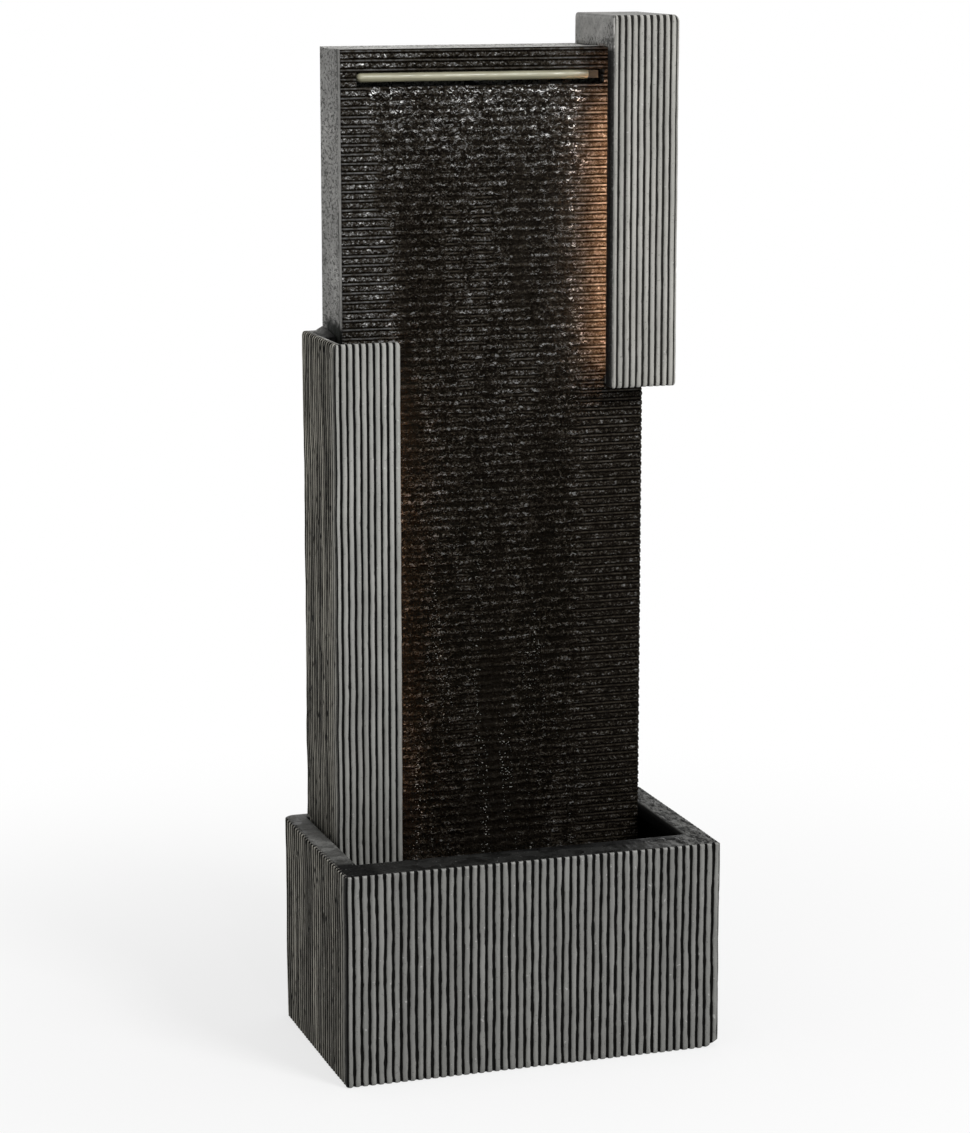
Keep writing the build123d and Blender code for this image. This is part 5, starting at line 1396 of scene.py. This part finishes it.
class FOUNTAIN_OT_block(bpy.types.Operator):
    """Build the ribbed upper block, a channel round the wall's edge with a solid head"""

    bl_idname = "fountain.block"
    bl_label = "Upper block"

    def execute(self, context):
        sizes, colours = settings(context)
        low, high, top = BLOCK_LOW, BLOCK_HIGH, BLOCK_HIGH.z
        shoulder = SLATE_HIGH.z
        pitch = sizes.block_pitch
        lower, stations = block_outlines(pitch)
        count = len(lower)
        inner_low, inner_high = inset_plan(low, high, CASTING_WALL)
        inner = held_in(inner_low, inner_high, lower)
        crest = held_in(*inset_plan(low, high, TIP_RING), stations)

        worn = WornCorner(high.x, low.y, level=top, move=-0.003, reach=0.004)
        casting = Casting(low.y, top, BLOCK_FLARE, worn)
        skin = casting.tips(lower, low.z, -1)
        skin += casting.rows(lower, levels(low.z + TIP_START, shoulder - CASTING_ROW, CASTING_ROW))
        shoulder_row = casting.row(stations, shoulder)
        cap = [shoulder_row]
        cap += casting.rows(stations, levels(shoulder + CASTING_ROW, top - TIP_START, CASTING_ROW))
        cap += casting.tips(stations, top, 1)
        cap.append(casting.row(stations, top, partners=crest, plain=1.0))
        skin_rows = [*skin, shoulder_row[:count]]
        casting.bands(skin_rows)
        casting.bands(cap, closed=True)
        casting.face(cap[-1])
        inner_top = casting.row(lower, shoulder, partners=inner, plain=1.0)
        inner_bottom = casting.row(lower, low.z, partners=inner, plain=1.0)
        casting.bands([inner_top, inner_bottom, skin[0]])
        casting.face([row[0] for row in skin_rows] + [inner_top[0], inner_bottom[0]])
        casting.face([inner_bottom[-1], inner_top[-1]] + [row[-1] for row in skin_rows[::-1]])
        casting.face((inner_top + shoulder_row[count:])[::-1])
        shade_return(casting, skin, lower)

        base = [
            (inner_low[0], inner_low[1]),
            (inner_high[0], inner_low[1]),
            (inner_high[0], inner_high[1]),
            (BLOCK_SEAT, inner_high[1]),
            (BLOCK_SEAT, FRONT_SEAT),
            (inner_low[0], FRONT_SEAT),
        ]
        casting.prism(base, low.z, low.z + CASTING_WALL, plain=1.0)

        crown, wash, cast = colours.block_paint, colours.block_wash, colours.plain_paint
        paint = ribbed_paint("block_stone", crown, wash, cast, colours.rim_paint, side_darkening=0.0)
        groove, wander = sizes.tower_groove, sizes.tower_wander
        relief = relief_sizes(sizes, pitch, groove, wander, ragged=0.3, sway=0.0006, seed_step=2)
        finish_casting(casting, "block_casting", "upper_block", paint, relief)
        return {"FINISHED"}


def slate_windows():
    """Left and right edge of each inlet window at the foot of the wall."""
    middle = (SLATE_LOW.x + SLATE_HIGH.x) / 2
    found = []
    for number in range(WINDOW_COUNT):
        at = middle + (number - (WINDOW_COUNT - 1) / 2) * WINDOW_SPACING
        found.append((at - WINDOW_WIDTH / 2, at + WINDOW_WIDTH / 2))
    return found


def slate_grid(windows):
    """Columns and rows of the wall's points, which meet the edges of its openings."""
    low, high = SLATE_LOW, SLATE_HIGH
    edges = sorted([low.x, high.x, SLOT_LEFT, SLOT_RIGHT, *(x for window in windows for x in window)])
    columns = joined_levels([(first, second, SLATE_COLUMN) for first, second in zip(edges, edges[1:])])
    window_top = low.z + WINDOW_HEIGHT
    waterline = BASIN_HIGH.z - SHOWN_BELOW_RIM
    rows = joined_levels(
        [
            (low.z, window_top, SLATE_HIDDEN_ROW),
            (window_top, waterline, SLATE_HIDDEN_ROW),
            (waterline, SLOT_FOOT, SLATE_ROW),
            (SLOT_FOOT, SLOT_TOP, SLATE_ROW),
            (SLOT_TOP, high.z, SLATE_ROW),
        ]
    )
    return columns, rows


def close_back(piece, edges):
    """Fills the flat back of the wall round its openings and drops the points left over in them."""
    shape = bmesh.new()
    shape.from_mesh(piece.data)
    shape.verts.ensure_lookup_table()
    found = [shape.edges.get((shape.verts[a], shape.verts[b])) for a, b in edges]
    if None in found:
        raise RuntimeError("the slate wall's back edge is broken")
    bmesh.ops.triangle_fill(shape, use_beauty=True, edges=found)
    loose = [vert for vert in shape.verts if not vert.link_faces]
    bmesh.ops.delete(shape, geom=loose, context="VERTS")
    bmesh.ops.recalc_face_normals(shape, faces=shape.faces)
    shape.to_mesh(piece.data)
    shape.free()


def is_cut(windows, x, z):
    in_slot = SLOT_LEFT < x < SLOT_RIGHT and SLOT_FOOT < z < SLOT_TOP
    in_window = z < SLATE_LOW.z + WINDOW_HEIGHT and any(left < x < right for left, right in windows)
    return in_slot or in_window


def edge_push(columns, rows, x, z):
    """Which way the broken outer edges of the wall are bitten back."""
    if z == rows[-1]:
        return (0.0, 0.0, SLATE_TOP_BITE)
    return (float(x == columns[0]) - float(x == columns[-1]), 0.0, 0.0)


def slate_front(wall, columns, rows, windows):
    """Quads of the front round its openings. Returns the edges that only one quad uses."""
    grid = []
    for z in rows:
        pushes = [edge_push(columns, rows, x, z) for x in columns]
        points = [wall.point(x, SLATE_LOW.y, z, push, mask=1.0) for x, push in zip(columns, pushes)]
        grid.append(points)
    rims = {}
    for number, (z, next_z) in enumerate(zip(rows, rows[1:])):
        for place, (x, next_x) in enumerate(zip(columns, columns[1:])):
            if is_cut(windows, (x + next_x) / 2, (z + next_z) / 2):
                continue
            lower, upper = grid[number], grid[number + 1]
            corners = (lower[place], lower[place + 1], upper[place + 1], upper[place])
            wall.face(corners, True)
            for first, second in zip(corners, corners[1:] + corners[:1]):
                if not rims.pop((second, first), None):
                    rims[(first, second)] = True
    return rims


def slate_sides(wall, columns, rows, rims):
    """Sides of the wall and of its openings. Returns the edges of the flat back."""
    shoulders, backs = {}, {}
    slot_middle = (SLOT_FOOT + SLOT_TOP) / 2
    for point in {point for rim in rims for point in rim}:
        x, y, z = wall.places[point]
        in_span = SLOT_LEFT - TOUCHING <= x <= SLOT_RIGHT + TOUCHING
        in_slot = in_span and abs(z - slot_middle) < SLOT_HEIGHT
        paint = 0.0 if in_slot or z < BASIN_HIGH.z - HIDDEN_BELOW_RIM else 1.0
        push = edge_push(columns, rows, x, z)
        shoulders[point] = wall.point(x, y + SLATE_SHOULDER, z, push, plain=paint)
        backs[point] = wall.point(x, SLATE_HIGH.y, z, plain=paint)
    for first, second in rims:
        wall.face((second, first, shoulders[first], shoulders[second]))
        wall.face((shoulders[second], shoulders[first], backs[first], backs[second]))
    return [(backs[first], backs[second]) for first, second in rims]


class FOUNTAIN_OT_slate(bpy.types.Operator):
    """Build the slate wall with its courses, spill slot and inlet windows"""

    bl_idname = "fountain.slate"
    bl_label = "Slate wall"

    def execute(self, context):
        sizes, colours = settings(context)
        windows = slate_windows()
        columns, rows = slate_grid(windows)
        wall = Casting()
        rims = slate_front(wall, columns, rows, windows)
        back_edges = slate_sides(wall, columns, rows, rims)
        piece = wall.piece("slate_wall")
        close_back(piece, back_edges)
        course_sizes = {
            "Course Pitch": sizes.course_pitch,
            "Foot": SLATE_LOW.z,
            "Relief": sizes.course_relief,
            "Wander": sizes.course_wander,
            "Seed": sizes.seed,
        }
        grow(piece, course_tree(), slate_paint(colours), course_sizes)
        stand_for(piece, "slate_face")
        return {"FINISHED"}


def uneven_shell(material):
    """A copy of the tower shell whose sides and top are as uneven as hand-cast cement."""
    source = NODES["tower_shell"].data
    low, high = SHELL_LOW, SHELL_HIGH
    shape = bmesh.new()
    points = [shape.verts.new(vert.co) for vert in source.vertices]
    for face in source.polygons:
        shape.faces.new([points[number] for number in face.vertices])
    bmesh.ops.remove_doubles(shape, verts=shape.verts, dist=TOUCHING)

    def outer_faces(axis, level):
        return [
            face for face in shape.faces if all(abs(vert.co[axis] - level) < ON_FACE for vert in face.verts)
        ]

    for axis, level, inward in ((0, low.x, 1.0), (0, high.x, -1.0), (2, high.z, -1.0)):
        for cut_axis in (other for other in range(3) if other != axis):
            across = Vector([float(number == cut_axis) for number in range(3)])
            faces = outer_faces(axis, level)
            rims = {edge for face in faces for edge in face.edges}
            cut = [*faces, *rims, *{vert for face in faces for vert in face.verts}]
            for place in levels(low[cut_axis], high[cut_axis], CEMENT_STEP)[1:-1]:
                found = bmesh.ops.bisect_plane(
                    shape, geom=cut, dist=TOUCHING, plane_co=across * place, plane_no=across
                )
                cut = found["geom"]
        for vert in {vert for face in outer_faces(axis, level) for vert in face.verts}:
            swell = sum(share * noise.noise(vert.co * scale) for scale, share in CEMENT_SWELLS)
            hold = min(1.0, (high.y - vert.co.y) / CEMENT_HOLD)
            vert.co[axis] += inward * CEMENT_SWAY * max(0.0, CEMENT_LEVEL + swell) * hold

    mesh = bpy.data.meshes.new("tower_casting")
    shape.to_mesh(mesh)
    shape.free()
    mesh.shade_smooth()
    mesh.set_sharp_from_angle(angle=math.radians(CEMENT_CREASE))
    mesh.materials.append(material)
    return placed("tower_casting", mesh)


class FOUNTAIN_OT_shell(bpy.types.Operator):
    """Finish the tower shell, back panel, service door and grommet"""

    bl_idname = "fountain.shell"
    bl_label = "Shell and door"

    def execute(self, context):
        _, colours = settings(context)
        cement = cast_cement(colours.plain_paint)
        stand_for(uneven_shell(cement), "tower_shell")
        dress(cement, "back_panel")
        dress(moulded("black_plastic"), "service_door", "door_thumbscrews")
        dress(moulded("black_rubber"), "cable_grommet")
        dress(bright_steel(), "pillar_screws", "block_screws", "back_panel_screws")
        return {"FINISHED"}


class FOUNTAIN_OT_spill(bpy.types.Operator):
    """Finish the spill bar, its plug and keepers, and the riser behind it"""

    bl_idname = "fountain.spill"
    bl_label = "Spill bar and riser"

    def execute(self, context):
        _, colours = settings(context)
        dress(bar_plastic(colours.bar), "spill_tube")
        dress(moulded("grey_plastic"), "spill_tube_plug")
        dress(moulded("black_plastic"), "hose_elbow", "hose_clips")
        dress(moulded("keeper_plastic"), "spill_tube_keepers")
        dress(clear_hose(), "riser_hose")
        dress(bright_steel(), "upper_hose_clamp", "lower_hose_clamp")
        return {"FINISHED"}


class FOUNTAIN_OT_pump(bpy.types.Operator):
    """Finish the pump and its rotor"""

    bl_idname = "fountain.pump"
    bl_label = "Pump"

    def execute(self, context):
        dress(moulded("black_plastic"), "pump_motor", "pump_volute")
        dress(moulded("black_plastic"), "pump_intake_cover", "pump_cable_gland")
        dress(moulded("black_rubber"), "pump_suction_feet", "pump_seal", "pump_shaft_bushes")
        dress(moulded("dial_plastic"), "pump_flow_dial", "pump_impeller")
        dress(moulded("magnet"), "pump_rotor_magnet")
        dress(moulded("white_ceramic"), "pump_shaft")
        return {"FINISHED"}


class FOUNTAIN_OT_lights(bpy.types.Operator):
    """Finish the hidden light strips"""

    bl_idname = "fountain.lights"
    bl_label = "Light strips"

    def execute(self, context):
        _, colours = settings(context)
        dress(glowing_strip(colours), "block_led_strip", "pillar_led_strip")
        dress(moulded("black_rubber"), "block_led_end_caps", "pillar_led_end_caps")
        return {"FINISHED"}


def add_lamp(name, place, target, width, power):
    lamp = bpy.data.lights.new(name, "AREA")
    lamp.shape = "SQUARE"
    lamp.size = width
    lamp.energy = power
    holder = placed(name, lamp)
    holder.location = place
    holder.rotation_euler = (Vector(target) - Vector(place)).to_track_quat("-Z", "Y").to_euler()


def add_camera(scene):
    view = bpy.data.cameras.new("camera")
    view.sensor_width = SENSOR_WIDTH
    view.lens = CAMERA_LENS
    scene.camera = placed("camera", view)
    scene.camera.location = CAMERA_PLACE
    scene.camera.rotation_euler = [math.radians(angle) for angle in CAMERA_TURN]


def seen_ray(sheet):
    """One for rays that show the background: to the camera, mirrored or through glass."""
    path = sheet.tree.nodes.new("ShaderNodeLightPath")
    kinds = ("Is Glossy Ray", "Is Transmission Ray", "Is Camera Ray")
    return sheet.most(*(path.outputs[kind] for kind in kinds))


def white_world():
    world = bpy.data.worlds.new("studio")
    world.use_nodes = True
    sheet = Sheet(world.node_tree)
    world.node_tree.nodes.clear()
    lit = sheet.add("ShaderNodeBackground", {"Color": (0.36, 0.36, 0.36, 1.0)})
    seen = sheet.add("ShaderNodeBackground", {"Color": WHITE})
    both = sheet.add("ShaderNodeMixShader", {0: seen_ray(sheet), 1: lit, 2: seen})
    leave = world.node_tree.nodes.new("ShaderNodeOutputWorld")
    sheet.feed(leave.inputs["Surface"], both)
    bpy.context.scene.world = world


def pale_floor():
    """A round white floor that keeps the shadow and fades into the white background."""
    bpy.ops.mesh.primitive_circle_add(
        vertices=96, radius=FLOOR_RADIUS, fill_type="NGON", location=(0, 0, FLOOR_DROP)
    )
    floor = bpy.context.object
    floor.name = "floor"
    material = bpy.data.materials.new("pale_floor")
    material.use_nodes = True
    tree = material.node_tree
    tree.nodes.clear()
    sheet = Sheet(tree)
    matt = sheet.add("ShaderNodeBsdfDiffuse", {"Color": (0.80, 0.80, 0.80, 1.0)})
    white = sheet.add("ShaderNodeEmission", {"Color": WHITE, "Strength": 1.0})
    away = sheet.add("ShaderNodeVectorMath", {0: own_place(sheet)}, output=1, operation="LENGTH")
    shown = sheet.times(sheet.ramp(away, 0.25, 1.2, 0.72, 1.0), seen_ray(sheet))
    both = sheet.add("ShaderNodeMixShader", {0: shown, 1: matt, 2: white})
    leave = tree.nodes.new("ShaderNodeOutputMaterial")
    sheet.feed(leave.inputs["Surface"], both)
    floor.data.materials.append(material)


class FOUNTAIN_OT_stage(bpy.types.Operator):
    """Set up the floor, lamps, background and camera"""

    bl_idname = "fountain.stage"
    bl_label = "Stage"

    def execute(self, context):
        context.scene.view_settings.view_transform = "Standard"
        white_world()
        pale_floor()
        for lamp in LAMPS:
            add_lamp(*lamp)
        add_camera(context.scene)
        return {"FINISHED"}


class FOUNTAIN_PT_panel(bpy.types.Panel):
    """Buttons for the pieces of the fountain"""

    bl_idname = "FOUNTAIN_PT_panel"
    bl_label = "Garden Fountain"
    bl_space_type = "VIEW_3D"
    bl_region_type = "UI"
    bl_category = "Fountain"

    def draw(self, context):
        for group in settings(context):
            box = self.layout.box()
            for name in group.__annotations__:
                box.prop(group, name)
        for operator in OPERATORS:
            self.layout.operator(operator.bl_idname)


OPERATORS = (
    FOUNTAIN_OT_basin,
    FOUNTAIN_OT_pillar,
    FOUNTAIN_OT_block,
    FOUNTAIN_OT_slate,
    FOUNTAIN_OT_shell,
    FOUNTAIN_OT_spill,
    FOUNTAIN_OT_pump,
    FOUNTAIN_OT_lights,
    FOUNTAIN_OT_stage,
)
CLASSES = (FountainSizes, FountainColours, *OPERATORS, FOUNTAIN_PT_panel)


def register():
    for item in CLASSES:
        bpy.utils.register_class(item)
    bpy.types.Scene.fountain_sizes = PointerProperty(type=FountainSizes)
    bpy.types.Scene.fountain_colours = PointerProperty(type=FountainColours)


def unregister():
    del bpy.types.Scene.fountain_colours
    del bpy.types.Scene.fountain_sizes
    for item in reversed(CLASSES):
        bpy.utils.unregister_class(item)


def main():
    register()
    for operator in OPERATORS:
        family, name = operator.bl_idname.split(".")
        getattr(getattr(bpy.ops, family), name)()


if __name__ == "__main__":
    main()
